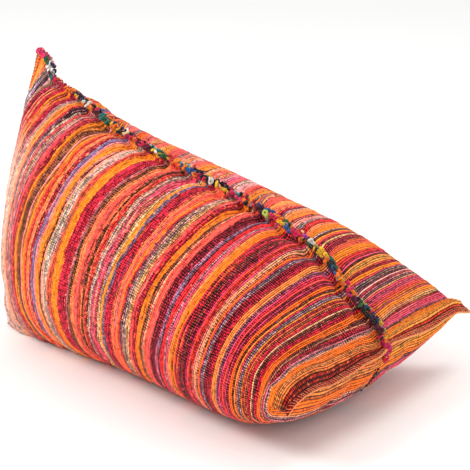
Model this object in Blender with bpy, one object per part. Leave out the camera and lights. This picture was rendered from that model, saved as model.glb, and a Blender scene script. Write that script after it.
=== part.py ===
"""Bean bag lounger of rag-woven cloth: a filled tube of two panels, shut flat upright at the back and
flat crosswise at the front, with a looped edging in the spine seam and in the keel seam.
Metres, +Z up. The floor is z = 0 and the low front closure points along +X."""

import math
from collections import namedtuple

import bpy
import numpy as np

# Frame: the middle of the standing bag's box, in the coordinates of the tables below.
MIDDLE_X = 0.6880
MIDDLE_Y = 0.0145

# One row for each cross-section of the filled tube, from the upright back closure (0) to the front one (1).
# near and far are the widest points of the two panels. top and base set how boxy each quarter is, from 1,
# an ellipse, down to 0, a box.
Section = namedtuple(
    "Section", "along keel_x keel_z near_x near_y near_z far_x far_y far_z top base")
SECTIONS = [
    Section(0.00, 0.119, 0.000, 0.174, 0.004, 0.400, 0.174, 0.004, 0.400, 1.00, 1.00),
    Section(0.05, 0.143, -0.014, 0.194, 0.072, 0.412, 0.220, 0.095, 0.390, 0.90, 1.04),
    Section(0.10, 0.180, -0.016, 0.226, 0.133, 0.405, 0.246, 0.160, 0.370, 0.92, 1.06),
    Section(0.20, 0.297, -0.016, 0.315, 0.208, 0.355, 0.330, 0.235, 0.345, 0.96, 1.08),
    Section(0.30, 0.415, -0.016, 0.430, 0.245, 0.315, 0.450, 0.275, 0.322, 0.96, 1.06),
    Section(0.40, 0.535, -0.016, 0.555, 0.265, 0.290, 0.578, 0.295, 0.300, 0.95, 1.01),
    Section(0.50, 0.655, -0.016, 0.681, 0.287, 0.268, 0.704, 0.312, 0.277, 0.95, 0.96),
    Section(0.60, 0.775, -0.016, 0.806, 0.318, 0.244, 0.831, 0.330, 0.257, 0.94, 0.93),
    Section(0.70, 0.898, -0.016, 0.928, 0.352, 0.221, 0.956, 0.347, 0.242, 0.92, 0.91),
    Section(0.80, 1.028, -0.014, 1.044, 0.374, 0.204, 1.074, 0.366, 0.226, 0.87, 0.87),
    Section(0.90, 1.164, 0.031, 1.155, 0.394, 0.191, 1.184, 0.396, 0.199, 0.82, 0.78),
    Section(0.95, 1.218, 0.072, 1.200, 0.424, 0.171, 1.228, 0.421, 0.168, 0.79, 0.72),
    Section(0.98, 1.241, 0.118, 1.229, 0.430, 0.149, 1.248, 0.443, 0.152, 0.78, 0.80),
    Section(1.00, 1.252, 0.158, 1.246, 0.416, 0.122, 1.260, 0.452, 0.141, 0.76, 0.86),
]

# The spine seam, from the tip of the peak down to the middle of the front closure.
SpinePoint = namedtuple("SpinePoint", "along x z")
SPINE = [
    SpinePoint(0.000, 0.250, 0.760),
    SpinePoint(0.025, 0.267, 0.742),
    SpinePoint(0.050, 0.277, 0.717),
    SpinePoint(0.068, 0.284, 0.703),
    SpinePoint(0.082, 0.301, 0.695),
    SpinePoint(0.105, 0.330, 0.684),
    SpinePoint(0.130, 0.358, 0.671),
    SpinePoint(0.205, 0.435, 0.623),
    SpinePoint(0.335, 0.588, 0.562),
    SpinePoint(0.460, 0.738, 0.520),
    SpinePoint(0.580, 0.880, 0.476),
    SpinePoint(0.705, 1.019, 0.423),
    SpinePoint(0.785, 1.104, 0.371),
    SpinePoint(0.850, 1.162, 0.311),
    SpinePoint(0.920, 1.216, 0.245),
    SpinePoint(1.000, 1.252, 0.164),
]

# Soft creases pressed into the panels: a line between two places, each given as the distance along the
# bag and the girth in quarter turns from the spine, with its width and depth in metres.
Crease = namedtuple("Crease", "along_a girth_a along_b girth_b width depth")
CREASES = [
    Crease(0.955, 0.40, 0.900, 0.82, 0.022, 0.009),
    Crease(0.985, 0.78, 0.880, 1.05, 0.030, 0.012),
    Crease(0.880, 1.55, 0.960, 1.05, 0.028, 0.008),
    Crease(0.930, 3.20, 0.985, 3.65, 0.026, 0.010),
    Crease(0.070, 0.10, 0.150, 0.55, 0.026, 0.008),
    Crease(0.075, 3.90, 0.140, 3.50, 0.026, 0.008),
    Crease(0.040, 1.70, 0.150, 1.45, 0.030, 0.008),
]

# Mesh of the cover: rows along the bag, and places round each quarter as shares of its girth, finer
# towards the seam.
ROWS = 72
QUARTER = (0, 0.014, 0.034, 0.065, 0.11, 0.17, 0.25, 0.34, 0.44, 0.54, 0.64, 0.74, 0.83, 0.92, 1)
ARC_STEPS = 60

# The two panels: their length along the seams, and half their loom width, which is a quarter of the girth.
SEAM_LENGTH = 1.24
QUARTER_LENGTH = 0.45

# Puckers where the cloth is gathered into the seams. They and the valleys fade out at both closures.
PUCKER_PITCH = 0.071
PUCKER_HEIGHT = 0.0055
PUCKER_REACH = 0.045
KEEL_PUCKER_SHARE = 0.6
CLOSING_REACH = 0.07

# The spine edging stands in a shallow valley, the keel edging lies pressed into a channel in the base and
# comes out into a valley of its own where the keel seam leaves the floor.
VALLEY_DEPTH = 0.005
VALLEY_REACH = 0.020
KEEL_LEAVES_FLOOR = (0.82, 0.88)
CHANNEL_DEPTH = 0.0070
CHANNEL_INNER = 0.012
CHANNEL_OUTER = 0.024

# The flat closures end in a stitched hem that stands out.
HEM_WIDTH = 0.016
FRONT_HEM_DROOP = math.radians(38)
HEM_HALF_THICKNESS = 0.0032
HEM_ROOT_HALF_THICKNESS = 0.0018
HEM_ROOT = 0.003
HEM_SWELL = 0.0054
HEM_EDGE_HALF_THICKNESS = 0.0029

# How far the front closure is held up above its plain line, at places across the bag, and where the cloth
# of each panel begins to rise to it. Beyond the last places the corners turn down.
Rise = namedtuple("Rise", "y height")
FRONT_RISES = [
    Rise(-0.450, 0.012), Rise(-0.410, 0.040), Rise(-0.375, 0.052), Rise(-0.340, 0.053), Rise(-0.280, 0.047),
    Rise(-0.220, 0.031), Rise(-0.170, 0.027), Rise(-0.125, 0.023), Rise(-0.085, 0.022), Rise(-0.050, 0.017),
    Rise(0.000, 0.008), Rise(0.065, 0.017), Rise(0.145, 0.018), Rise(0.250, 0.015), Rise(0.310, 0.020),
    Rise(0.380, 0.022), Rise(0.420, 0.014), Rise(0.460, 0.004),
]
NEAR_RISE_START = 0.90
FAR_RISE_START = 0.95
LOWER_RISE_START = 0.94
FAR_CORNER_RISE_START = 0.978

# Towards the front the two seams swing over to the far side: how far, from where to where along the bag,
# and how far round the cloth follows them.
SEAM_SWING = 0.030
SEAM_SWING_ALONG = (0.86, 0.95)
SEAM_SWING_REACH = 0.12

# The upright closure sags back below the tip of the peak: the middle of the sag, its reach and its depth.
SAG_HEIGHT = 0.646
SAG_REACH = 0.057
SAG_DEPTH = 0.016
SAG_END = 0.15

# The peak is too narrow to fill: its two sheets draw together to this share of their spread at the tip.
PEAK_PINCH = 0.11
PEAK_SPREAD = 0.45

# A crease is shallow at its ends and deepest in the middle, and fades out at the hems.
CREASE_END = 0.1
CREASE_FROM_HEM = 0.03

# Looped edging of cloth strips.
KNOT_PITCH = 0.018
EDGING_WIDTH = 0.009
EDGING_HEIGHT = 0.020
KEEL_EDGING_HEIGHT = 0.008
EDGING_SWELL = 0.28
EDGING_LEAN = 0.0016
EDGING_BASE_GAP = 0.0027
FLOOR_GAP = 0.0006
PRESSED_WIDTH = 0.018
PRESSED_HEIGHT = 0.002
FREE_HEIGHT = 0.006
SPINE_EDGING_END = 0.975
KEEL_EDGING_ENDS = (0.012, 0.985)

# Corners of the edging's section: the share of its half width, and of its height.
EdgingCorner = namedtuple("EdgingCorner", "across up")
EDGING_SECTION = [
    EdgingCorner(-0.55, 0.00),
    EdgingCorner(0.55, 0.00),
    EdgingCorner(1.00, 0.45),
    EdgingCorner(0.60, 1.00),
    EdgingCorner(-0.60, 1.00),
    EdgingCorner(-1.00, 0.45),
]
STEPS_PER_KNOT = 3
HEIGHT_BETWEEN_KNOTS = 0.72


def smooth_step(value, low, high):
    share = np.clip((value - low) / (high - low), 0.0, 1.0)
    return share * share * (3.0 - 2.0 * share)


def smooth_curve(stations, values, wanted):
    """A smooth curve through a table's points that never overshoots between two of them."""
    stations, values, wanted = (np.asarray(part, float) for part in (stations, values, wanted))
    gaps = np.diff(stations)
    slopes = np.diff(values) / gaps
    tangents = np.zeros(len(values))
    for i in range(1, len(values) - 1):
        if slopes[i - 1] * slopes[i] > 0:
            first = 2 * gaps[i] + gaps[i - 1]
            second = gaps[i] + 2 * gaps[i - 1]
            tangents[i] = (first + second) / (first / slopes[i - 1] + second / slopes[i])
    tangents[0], tangents[-1] = slopes[0], slopes[-1]
    span = np.clip(np.searchsorted(stations, wanted) - 1, 0, len(gaps) - 1)
    t = (wanted - stations[span]) / gaps[span]
    rise = values[span + 1] - values[span]
    return (values[span] + rise * t * t * (3 - 2 * t)
            + gaps[span] * (tangents[span] * t * (1 - t) ** 2 - tangents[span + 1] * t * t * (1 - t)))


def section_at(along):
    """Every column of SECTIONS, and the spine's place, at each distance along the bag."""
    stations = [row.along for row in SECTIONS]
    columns = {
        name: smooth_curve(stations, [getattr(row, name) for row in SECTIONS], along)
        for name in Section._fields[1:]
    }
    spine_stations = [point.along for point in SPINE]
    columns["spine_x"] = smooth_curve(spine_stations, [point.x for point in SPINE], along)
    columns["spine_z"] = smooth_curve(spine_stations, [point.z for point in SPINE], along)
    return columns


def quarter_arc(middle, start, side, boxiness, shares):
    """Points of a quarter section from a seam (start) to the widest point (side), at shares of its length."""
    angle = np.linspace(0, math.pi / 2, ARC_STEPS + 1)
    towards_start = np.cos(angle) ** boxiness
    towards_side = np.sin(angle) ** boxiness
    arc = middle + np.outer(towards_start, start - middle) + np.outer(towards_side, side - middle)
    length = np.concatenate([[0], np.cumsum(np.linalg.norm(np.diff(arc, axis=0), axis=1))])
    wanted = np.asarray(shares) * length[-1]
    return np.stack([np.interp(wanted, length, arc[:, axis]) for axis in range(3)], axis=1)


def bare_surface(alongs, shares):
    """The filled tube without its small forms: rows along the bag, columns round it from the spine,
    down the near panel, along the keel and up the far panel."""
    columns = section_at(alongs)
    rows = []
    for i in range(len(alongs)):
        value = {name: column[i] for name, column in columns.items()}
        spine = np.array([value["spine_x"], 0.0, value["spine_z"]])
        keel = np.array([value["keel_x"], 0.0, value["keel_z"]])
        halves = []
        for panel, y_sign in (("near", -1), ("far", 1)):
            side = np.array([value[panel + "_x"], y_sign * value[panel + "_y"], value[panel + "_z"]])
            share = np.clip((side[2] - keel[2]) / (spine[2] - keel[2]), 0.0, 1.0)
            middle = keel + (spine - keel) * share
            upper = quarter_arc(middle, spine, side, value["top"], shares)
            lower = quarter_arc(middle, keel, side, value["base"], shares)[::-1]
            halves.append(np.vstack([upper[:-1], lower]))
        near, far = halves
        rows.append(np.vstack([near, far[::-1][1:-1]]))
    return np.array(rows)


def grid_normals(grid):
    """Directions straight out of the surface."""
    round_step = np.roll(grid, -1, axis=1) - np.roll(grid, 1, axis=1)
    along_step = np.gradient(grid, axis=0)
    normals = np.cross(round_step, along_step)
    length = np.linalg.norm(normals, axis=2, keepdims=True)
    return normals / np.maximum(length, 1e-9)


def crease_depth(crease, along, girth):
    """Depth of one crease at each point, measured in metres across the cloth."""
    start = np.array([crease.along_a * SEAM_LENGTH, crease.girth_a * QUARTER_LENGTH])
    end = np.array([crease.along_b * SEAM_LENGTH, crease.girth_b * QUARTER_LENGTH])
    place = np.stack([along * SEAM_LENGTH, girth * QUARTER_LENGTH], axis=-1)
    line = end - start
    share = np.clip(((place - start) @ line) / (line @ line), 0.0, 1.0)
    away = np.linalg.norm(place - start - share[..., None] * line, axis=-1)
    fade = np.sin(math.pi * (CREASE_END + (1 - 2 * CREASE_END) * share))
    return crease.depth * fade * np.exp(-(away / crease.width) ** 2)


def cover_surface(alongs, shares):
    """The filled tube with its puckers, creases, seam valleys, peak and front corners, on the floor."""
    grid = bare_surface(alongs, shares)
    per_quarter = len(shares) - 1
    girth = np.array([quarter + share for quarter in range(4) for share in (
        shares[:-1] if quarter % 2 == 0 else 1 - np.asarray(shares)[::-1][:-1])])
    along = np.repeat(np.asarray(alongs)[:, None], len(girth), axis=1)
    girth = np.repeat(girth[None, :], len(alongs), axis=0)
    from_spine = np.minimum(girth, 4 - girth) * QUARTER_LENGTH
    from_keel = np.abs(girth - 2) * QUARTER_LENGTH
    off_floor = smooth_step(along, *KEEL_LEAVES_FLOOR)
    normals = grid_normals(grid)

    closing = smooth_step(along, 0.0, CLOSING_REACH) * smooth_step(1 - along, 0.0, CLOSING_REACH)
    clear_of_hems = smooth_step(along, 0.0, CREASE_FROM_HEM) * smooth_step(1 - along, 0.0, CREASE_FROM_HEM)
    side_shift = np.where(girth < 2, 0.0, 0.5)
    wave = np.cos(2 * math.pi * (along * SEAM_LENGTH / PUCKER_PITCH + side_shift))
    near_spine = (from_spine / PUCKER_REACH) * np.exp(1 - from_spine / PUCKER_REACH)
    near_keel = KEEL_PUCKER_SHARE * (from_keel / PUCKER_REACH) * np.exp(1 - from_keel / PUCKER_REACH)
    lift = PUCKER_HEIGHT * wave * closing * (near_spine + near_keel * off_floor)
    lift = lift - VALLEY_DEPTH * closing * np.exp(-(from_spine / VALLEY_REACH) ** 2)
    lift = lift - VALLEY_DEPTH * closing * np.exp(-(from_keel / VALLEY_REACH) ** 2) * off_floor
    for crease in CREASES:
        lift = lift - crease_depth(crease, along, girth) * clear_of_hems
    grid = grid + normals * lift[..., None]

    tip = np.array([SPINE[0].x, 0.0, SPINE[0].z])
    from_tip = np.linalg.norm(grid - tip, axis=2)
    grid[..., 1] *= PEAK_SPREAD + (1 - PEAK_SPREAD) * smooth_step(from_tip, 0.0, PEAK_PINCH)

    swing = smooth_step(along, *SEAM_SWING_ALONG) * np.exp(
        -(np.minimum(from_spine, from_keel) / SEAM_SWING_REACH) ** 2)
    grid[..., 1] += SEAM_SWING * swing

    # The upright closure sags back below the tip, and the front one is held up but for its two corners.
    sag = np.exp(-((grid[..., 2] - SAG_HEIGHT) / SAG_REACH) ** 2) * (1 - smooth_step(along, 0.0, SAG_END))
    grid[..., 0] -= SAG_DEPTH * sag
    rise = smooth_curve([rise.y for rise in FRONT_RISES], [rise.height for rise in FRONT_RISES],
                        np.clip(grid[..., 1], FRONT_RISES[0].y, FRONT_RISES[-1].y))
    lower = LOWER_RISE_START + (FAR_CORNER_RISE_START - LOWER_RISE_START) * smooth_step(girth, 2.3, 2.7)
    start = np.where(girth < 1, NEAR_RISE_START, np.where(girth > 3, FAR_RISE_START, lower))
    grid[..., 2] += rise * smooth_step(along, start, 1.0)

    # The bag's weight flattens it on the floor, with a channel for the keel edging.
    grid[..., 2] = np.maximum(grid[..., 2], 0.0)
    channel = 1 - smooth_step(from_keel, CHANNEL_INNER, CHANNEL_OUTER)
    resting = grid[..., 2] < CHANNEL_DEPTH
    raised = np.maximum(grid[..., 2], CHANNEL_DEPTH * channel)
    grid[..., 2] = np.where(resting & (from_keel < CHANNEL_OUTER), raised, grid[..., 2])
    grid -= np.array([MIDDLE_X, MIDDLE_Y, 0.0])
    return grid, per_quarter


def hem_rows(edge_row, inner_row, partner, droop=0.0):
    """Rows of the hem beyond a closure: its root, its swell and its edge, as pairs of facing points. The
    droop is the angle at which it hangs."""
    middle = (edge_row + edge_row[partner]) / 2
    outward = middle - (inner_row + inner_row[partner]) / 2
    outward /= np.maximum(np.linalg.norm(outward, axis=1, keepdims=True), 1e-9)
    outward = outward * math.cos(droop) - np.array([0.0, 0.0, 1.0]) * math.sin(droop)
    outward /= np.linalg.norm(outward, axis=1, keepdims=True)
    across = edge_row - edge_row[partner]
    across = across - outward * np.sum(across * outward, axis=1, keepdims=True)
    length = np.linalg.norm(across, axis=1, keepdims=True)
    across = np.where(length > 1e-7, across / np.maximum(length, 1e-9), 0.0)
    profile = (
        (HEM_ROOT, HEM_ROOT_HALF_THICKNESS),
        (HEM_SWELL, HEM_HALF_THICKNESS),
        (HEM_WIDTH, HEM_EDGE_HALF_THICKNESS),
    )
    return [middle + outward * reach + across * half for reach, half in profile]


def closing_faces(first, partner, front):
    """Quads and two end triangles that close a ring whose points face each other in pairs."""
    count = len(partner)
    start = next(i for i in range(count) if partner[i] == i)
    faces = []
    for k in range(count // 2):
        a, b = (start + k) % count, (start + k + 1) % count
        corners = [a, b, partner[b], partner[a]] if front else [b, a, partner[a], partner[b]]
        faces.append([first + int(corner) for corner in dict.fromkeys(corners)])
    return faces


def build_mesh(name, points, faces, material, smooth_angle):
    mesh = bpy.data.meshes.new(name)
    mesh.from_pydata([tuple(point) for point in points], [], faces)
    mesh.validate()
    mesh.materials.append(material)
    mesh.shade_smooth()
    mesh.set_sharp_from_angle(angle=smooth_angle)
    piece = bpy.data.objects.new(name, mesh)
    bpy.context.scene.collection.objects.link(piece)
    return piece


def cloth_material(name, colour, roughness):
    material = bpy.data.materials.new(name)
    material.use_nodes = True
    shader = material.node_tree.nodes["Principled BSDF"]
    shader.inputs["Base Color"].default_value = (*colour, 1.0)
    shader.inputs["Roughness"].default_value = roughness
    shader.inputs["Metallic"].default_value = 0.0
    return material


def cover(material):
    """The filled cover with its two hemmed closures."""
    alongs = np.linspace(0.0, 1.0, ROWS + 1)
    grid, per_quarter = cover_surface(alongs, QUARTER)
    count = grid.shape[1]
    index = np.arange(count)
    back_partner = (-index) % count
    front_partner = (2 * per_quarter - index) % count
    back = hem_rows(grid[0], grid[2], back_partner)
    front = hem_rows(grid[-1], grid[-3], front_partner, FRONT_HEM_DROOP)
    rows = back[::-1] + list(grid) + front
    points = np.array(rows).reshape(-1, 3)
    points[:, 2] = np.maximum(points[:, 2], 0.0)
    faces = []
    for row in range(len(rows) - 1):
        for i in range(count):
            j = (i + 1) % count
            faces.append([row * count + i, row * count + j, (row + 1) * count + j, (row + 1) * count + i])
    faces += closing_faces(0, back_partner, front=False)
    faces += closing_faces((len(rows) - 1) * count, front_partner, front=True)
    return build_mesh("cover", points, faces, material, math.radians(50))


def edging_mesh(name, route, outward, heights, widths, material):
    """A strip of bunched loops along a seam: a six-sided rope of knots that lean left and right by turns."""
    steps = np.linalg.norm(np.diff(route, axis=0), axis=1)
    travelled = np.concatenate([[0], np.cumsum(steps)])
    knots = int(round(travelled[-1] / KNOT_PITCH))
    wanted = np.linspace(0, travelled[-1], knots * STEPS_PER_KNOT + 1)
    centre = np.stack([np.interp(wanted, travelled, column) for column in route.T], axis=1)
    normal = np.stack([np.interp(wanted, travelled, column) for column in outward.T], axis=1)
    height = np.interp(wanted, travelled, heights)
    width = np.interp(wanted, travelled, widths)
    normal /= np.linalg.norm(normal, axis=1, keepdims=True)
    sideways = np.array([0.0, 1.0, 0.0]) * (1 if normal[len(normal) // 2, 2] > 0 else -1)
    points = []
    for i in range(len(wanted)):
        knot, step = divmod(i, STEPS_PER_KNOT)
        turn = 1 if knot % 2 == 0 else -1
        fullness = math.sin(math.pi * step / STEPS_PER_KNOT)
        steps_from_end = min(i, len(wanted) - 1 - i)
        taper = min(1.0, 0.5 + 0.25 * steps_from_end)
        half = width[i] / 2 * (1 + EDGING_SWELL * fullness) * taper
        tall = height[i] * (HEIGHT_BETWEEN_KNOTS + (1 - HEIGHT_BETWEEN_KNOTS) * fullness * taper)
        lean = sideways * EDGING_LEAN * turn * (height[i] / EDGING_HEIGHT)
        for corner in EDGING_SECTION:
            points.append(
                centre[i] + sideways * half * corner.across + (normal[i] * tall + lean) * corner.up)
    sides = len(EDGING_SECTION)
    faces = [list(range(sides))[::-1], [len(points) - sides + k for k in range(sides)]]
    for i in range(len(wanted) - 1):
        for k in range(sides):
            m = (k + 1) % sides
            faces.append([i * sides + k, i * sides + m, (i + 1) * sides + m, (i + 1) * sides + k])
    return build_mesh(name, points, faces, material, math.radians(60))


def seam_line(seam, alongs):
    """The points of the spine seam or the keel seam, and the way each runs."""
    grid, per_quarter = cover_surface(alongs, QUARTER)
    line = grid[:, 0 if seam == "spine" else 2 * per_quarter]
    direction = np.gradient(line, axis=0)
    direction /= np.linalg.norm(direction, axis=1, keepdims=True)
    return line, direction


def spine_edging(material):
    """Edging that stands along the spine seam and curls over the tip of the peak."""
    line, direction = seam_line("spine", np.linspace(0.0, SPINE_EDGING_END, 90))
    outward = np.stack([-direction[:, 2], 0 * direction[:, 0], direction[:, 0]], axis=1)
    hem_tip = line[0] - direction[0] * HEM_WIDTH
    curl = hem_tip + outward[0] * -0.3 * EDGING_WIDTH
    line = np.vstack([curl, hem_tip, line])
    outward = np.vstack([-direction[0], outward[0] - 0.8 * direction[0], outward])
    route = line + outward * EDGING_BASE_GAP
    full = np.full(len(route), 1.0)
    return edging_mesh("spine_edging", route, outward, full * EDGING_HEIGHT, full * EDGING_WIDTH, material)


def keel_edging(material):
    """Edging of the keel seam: pressed flat in its channel under the bag, upright where the bag curves up."""
    line, direction = seam_line("keel", np.linspace(*KEEL_EDGING_ENDS, 120))
    outward = np.stack([direction[:, 2], 0 * direction[:, 0], -direction[:, 0]], axis=1)
    route = line + outward * EDGING_BASE_GAP
    room = (route[:, 2] - FLOOR_GAP) / np.maximum(-outward[:, 2], 0.25)
    heights = np.minimum(KEEL_EDGING_HEIGHT, np.maximum(room, PRESSED_HEIGHT))
    pressed = 1 - smooth_step(heights, FREE_HEIGHT, KEEL_EDGING_HEIGHT)
    widths = EDGING_WIDTH + (PRESSED_WIDTH - EDGING_WIDTH) * pressed
    return edging_mesh("keel_edging", route, outward, heights, widths, material)


def main():
    for old in list(bpy.data.objects):
        bpy.data.objects.remove(old)
    cover(cloth_material("rag_cloth", (0.66, 0.20, 0.12), 0.9))
    spine_edging(cloth_material("spine_loops", (0.42, 0.10, 0.09), 0.95))
    keel_edging(cloth_material("keel_loops", (0.16, 0.05, 0.06), 0.95))


main()
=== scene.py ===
"""Bean bag lounger of rag-woven cloth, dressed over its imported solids: the woven cover with its hems, the
looped edgings of its spine and keel seams, and the stitching of its two hems. Metres, +Z up."""
import math
from collections import namedtuple

import bpy
import numpy as np
from mathutils import Euler, Matrix, Vector


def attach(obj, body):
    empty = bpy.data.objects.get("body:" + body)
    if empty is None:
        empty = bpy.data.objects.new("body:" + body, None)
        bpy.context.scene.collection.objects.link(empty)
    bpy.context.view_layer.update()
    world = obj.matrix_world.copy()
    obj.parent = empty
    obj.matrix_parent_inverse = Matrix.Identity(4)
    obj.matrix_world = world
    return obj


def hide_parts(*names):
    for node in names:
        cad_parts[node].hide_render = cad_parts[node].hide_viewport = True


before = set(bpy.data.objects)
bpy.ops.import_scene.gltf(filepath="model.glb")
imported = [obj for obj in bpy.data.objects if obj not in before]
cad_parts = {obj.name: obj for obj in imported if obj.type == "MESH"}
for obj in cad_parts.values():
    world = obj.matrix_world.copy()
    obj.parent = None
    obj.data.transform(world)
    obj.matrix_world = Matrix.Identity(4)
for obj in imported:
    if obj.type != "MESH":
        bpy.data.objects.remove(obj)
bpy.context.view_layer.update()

# Frame: the middle of the standing bag's box, in the coordinates of the tables below.
MIDDLE_X = 0.6880
MIDDLE_Y = 0.0145

# One row for each cross-section of the filled tube, from the upright back closure (0) to the front one (1).
# near and far are the widest points of the two panels. top and base set how boxy each quarter is, from 1,
# an ellipse, down to 0, a box.
Section = namedtuple(
    "Section", "along keel_x keel_z near_x near_y near_z far_x far_y far_z top base")
SECTIONS = [
    Section(0.00, 0.119, 0.000, 0.174, 0.004, 0.400, 0.174, 0.004, 0.400, 1.00, 1.00),
    Section(0.05, 0.143, -0.014, 0.194, 0.072, 0.412, 0.220, 0.095, 0.390, 0.90, 1.04),
    Section(0.10, 0.180, -0.016, 0.226, 0.133, 0.405, 0.246, 0.160, 0.370, 0.92, 1.06),
    Section(0.20, 0.297, -0.016, 0.315, 0.208, 0.355, 0.330, 0.235, 0.345, 0.96, 1.08),
    Section(0.30, 0.415, -0.016, 0.430, 0.245, 0.315, 0.450, 0.275, 0.322, 0.96, 1.06),
    Section(0.40, 0.535, -0.016, 0.555, 0.265, 0.290, 0.578, 0.295, 0.300, 0.95, 1.01),
    Section(0.50, 0.655, -0.016, 0.681, 0.287, 0.268, 0.704, 0.312, 0.277, 0.95, 0.96),
    Section(0.60, 0.775, -0.016, 0.806, 0.318, 0.244, 0.831, 0.330, 0.257, 0.94, 0.93),
    Section(0.70, 0.898, -0.016, 0.928, 0.352, 0.221, 0.956, 0.347, 0.242, 0.92, 0.91),
    Section(0.80, 1.028, -0.014, 1.044, 0.374, 0.204, 1.074, 0.366, 0.226, 0.87, 0.87),
    Section(0.90, 1.164, 0.031, 1.155, 0.394, 0.191, 1.184, 0.396, 0.199, 0.82, 0.78),
    Section(0.95, 1.218, 0.072, 1.200, 0.424, 0.171, 1.228, 0.421, 0.168, 0.79, 0.72),
    Section(0.98, 1.241, 0.118, 1.229, 0.430, 0.149, 1.248, 0.443, 0.152, 0.78, 0.80),
    Section(1.00, 1.252, 0.158, 1.246, 0.416, 0.122, 1.260, 0.452, 0.141, 0.76, 0.86),
]

# The spine seam, from the tip of the peak down to the middle of the front closure.
SpinePoint = namedtuple("SpinePoint", "along x z")
SPINE = [
    SpinePoint(0.000, 0.250, 0.760),
    SpinePoint(0.025, 0.267, 0.742),
    SpinePoint(0.050, 0.277, 0.717),
    SpinePoint(0.068, 0.284, 0.703),
    SpinePoint(0.082, 0.301, 0.695),
    SpinePoint(0.105, 0.330, 0.684),
    SpinePoint(0.130, 0.358, 0.671),
    SpinePoint(0.205, 0.435, 0.623),
    SpinePoint(0.335, 0.588, 0.562),
    SpinePoint(0.460, 0.738, 0.520),
    SpinePoint(0.580, 0.880, 0.476),
    SpinePoint(0.705, 1.019, 0.423),
    SpinePoint(0.785, 1.104, 0.371),
    SpinePoint(0.850, 1.162, 0.311),
    SpinePoint(0.920, 1.216, 0.245),
    SpinePoint(1.000, 1.252, 0.164),
]

# Soft creases pressed into the panels: a line between two places, each given as the distance along the
# bag and the girth in quarter turns from the spine, with its width and depth in metres.
Crease = namedtuple("Crease", "along_a girth_a along_b girth_b width depth")
CREASES = [
    Crease(0.955, 0.40, 0.900, 0.82, 0.022, 0.009),
    Crease(0.985, 0.78, 0.880, 1.05, 0.030, 0.012),
    Crease(0.880, 1.55, 0.960, 1.05, 0.028, 0.008),
    Crease(0.930, 3.20, 0.985, 3.65, 0.026, 0.010),
    Crease(0.070, 0.10, 0.150, 0.55, 0.026, 0.008),
    Crease(0.075, 3.90, 0.140, 3.50, 0.026, 0.008),
    Crease(0.040, 1.70, 0.150, 1.45, 0.030, 0.008),
]
CREASE_END = 0.1
CREASE_FROM_HEM = 0.03

# The two panels: their length along the seams, and half their loom width, which is a quarter of the girth.
SEAM_LENGTH = 1.24
QUARTER_LENGTH = 0.45

# The weave: each pick is one weft strip across the panel. Its rib is thicker or thinner from pick to
# pick and in lumps along it, and pressed flat on the floor. The warp's pitch is in millimetres.
PICKS = 248
PICK_PITCH = 0.005
ROWS_PER_PICK = 3
RIB_HEIGHT = 0.0017
RIB_THICKNESSES = (0.55, 1.35)
RIB_UNEVENNESS = 0.4
RIB_PRESSED_BELOW = 0.004
LUMP_LENGTH = 0.05
WARP_PITCH = 6.6

# How the picks wander from straight lines: how far in metres, and the size of the bends along the bag and
# across the pick. They are held beside the seams and closures, and wander less towards the front.
Wander = namedtuple("Wander", "seed far along across")
WANDERS = [
    Wander(11, 0.0055, 0.070, 0.110), Wander(12, 0.0032, 0.020, 0.045), Wander(13, 0.0015, 0.009, 0.050),
]
WANDER_HELD_WITHIN = 0.05
WANDER_SHARE = 0.8
WANDER_LOSS = 0.4
WANDER_LOSS_ALONG = (0.50, 0.85)

# Mesh of the cover. The settled rows are two picks apart and the woven rows a third of a pick.
SETTLED_ROWS = PICKS // 2
COLUMNS_PER_QUARTER = 30
ARC_STEPS = 60

# How the cloth settles on its filling, and how much of its slow swelling is taken out again.
SETTLE_PRESSURE = 4.0
SETTLE_GROWTH = 0.014
SETTLE_STIFFNESS = 15.0
SETTLE_BENDING = 8.0
SETTLE_FRAMES = 20
SETTLE_START_INWARD = 0.002
SETTLE_LIMIT = 0.008
SETTLE_SMOOTHINGS = 60
SETTLE_SLOW_SHARE = 0.9
SETTLE_CLEAR_OF_ENDS = (0.08, 0.05)
SEAM_HOLD = 0.022
CHANNEL_HOLD = 1.5
FLOOR_CONTACT = 0.0005

# Puckers where the cloth is gathered into the seams, unevenly spaced and unevenly high, and the hooks
# that the picks make there.
PUCKER_PITCH = 0.071
PUCKER_HEIGHT = 0.0070
PUCKER_REACH = 0.045
PUCKER_SPACING_UNEVENNESS = 0.30
PUCKER_ROUNDNESS = 0.8
PUCKER_LEVEL = 1.15
PUCKER_SHARE = 0.8
PUCKER_UNEVENNESS = 0.5
KEEL_PUCKER_SHARE = 0.6
FAR_PUCKER_SHARE = 0.45
CLOSING_REACH = 0.07
GUTTER_DEPTH = 0.011
GUTTER_REACH = 0.014
GUTTER_WAVE = 0.25
KEEL_VALLEY_DEPTH = 0.005
KEEL_VALLEY_REACH = 0.020
HOOK_LENGTH = 0.010
HOOK_REACH = 0.020
HOOK_SHARE = 0.6
HOOK_WAVE = 0.5
HOOK_SHIFT = 0.2
KEEL_LEAVES_FLOOR = (0.82, 0.88)
CHANNEL_DEPTH = 0.0070
CHANNEL_INNER = 0.012
CHANNEL_OUTER = 0.024

# The flat closures end in a stitched hem that stands out. The back one is folded over by a share of its
# turn at each height, and the front one droops.
HEM_WIDTH = 0.016
HEM_PICKS = 3
BACK_HEM_HEIGHTS = (0.0, 0.06, 0.16, 0.62, 0.71, 0.76)
BACK_HEM_FOLDS = (0.80, 0.74, 0.72, 0.72, 0.35, 0.0)
HEM_INNER_ROW = 8
FRONT_HEM_DROOP = math.radians(38)
HEM_HALF_THICKNESS = 0.0032
HEM_ROOT_HALF_THICKNESS = 0.0018
HEM_SWELLS_BY = 0.35
HEM_ROUND_FROM = 0.75
HEM_ROUNDING = 0.85

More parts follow.
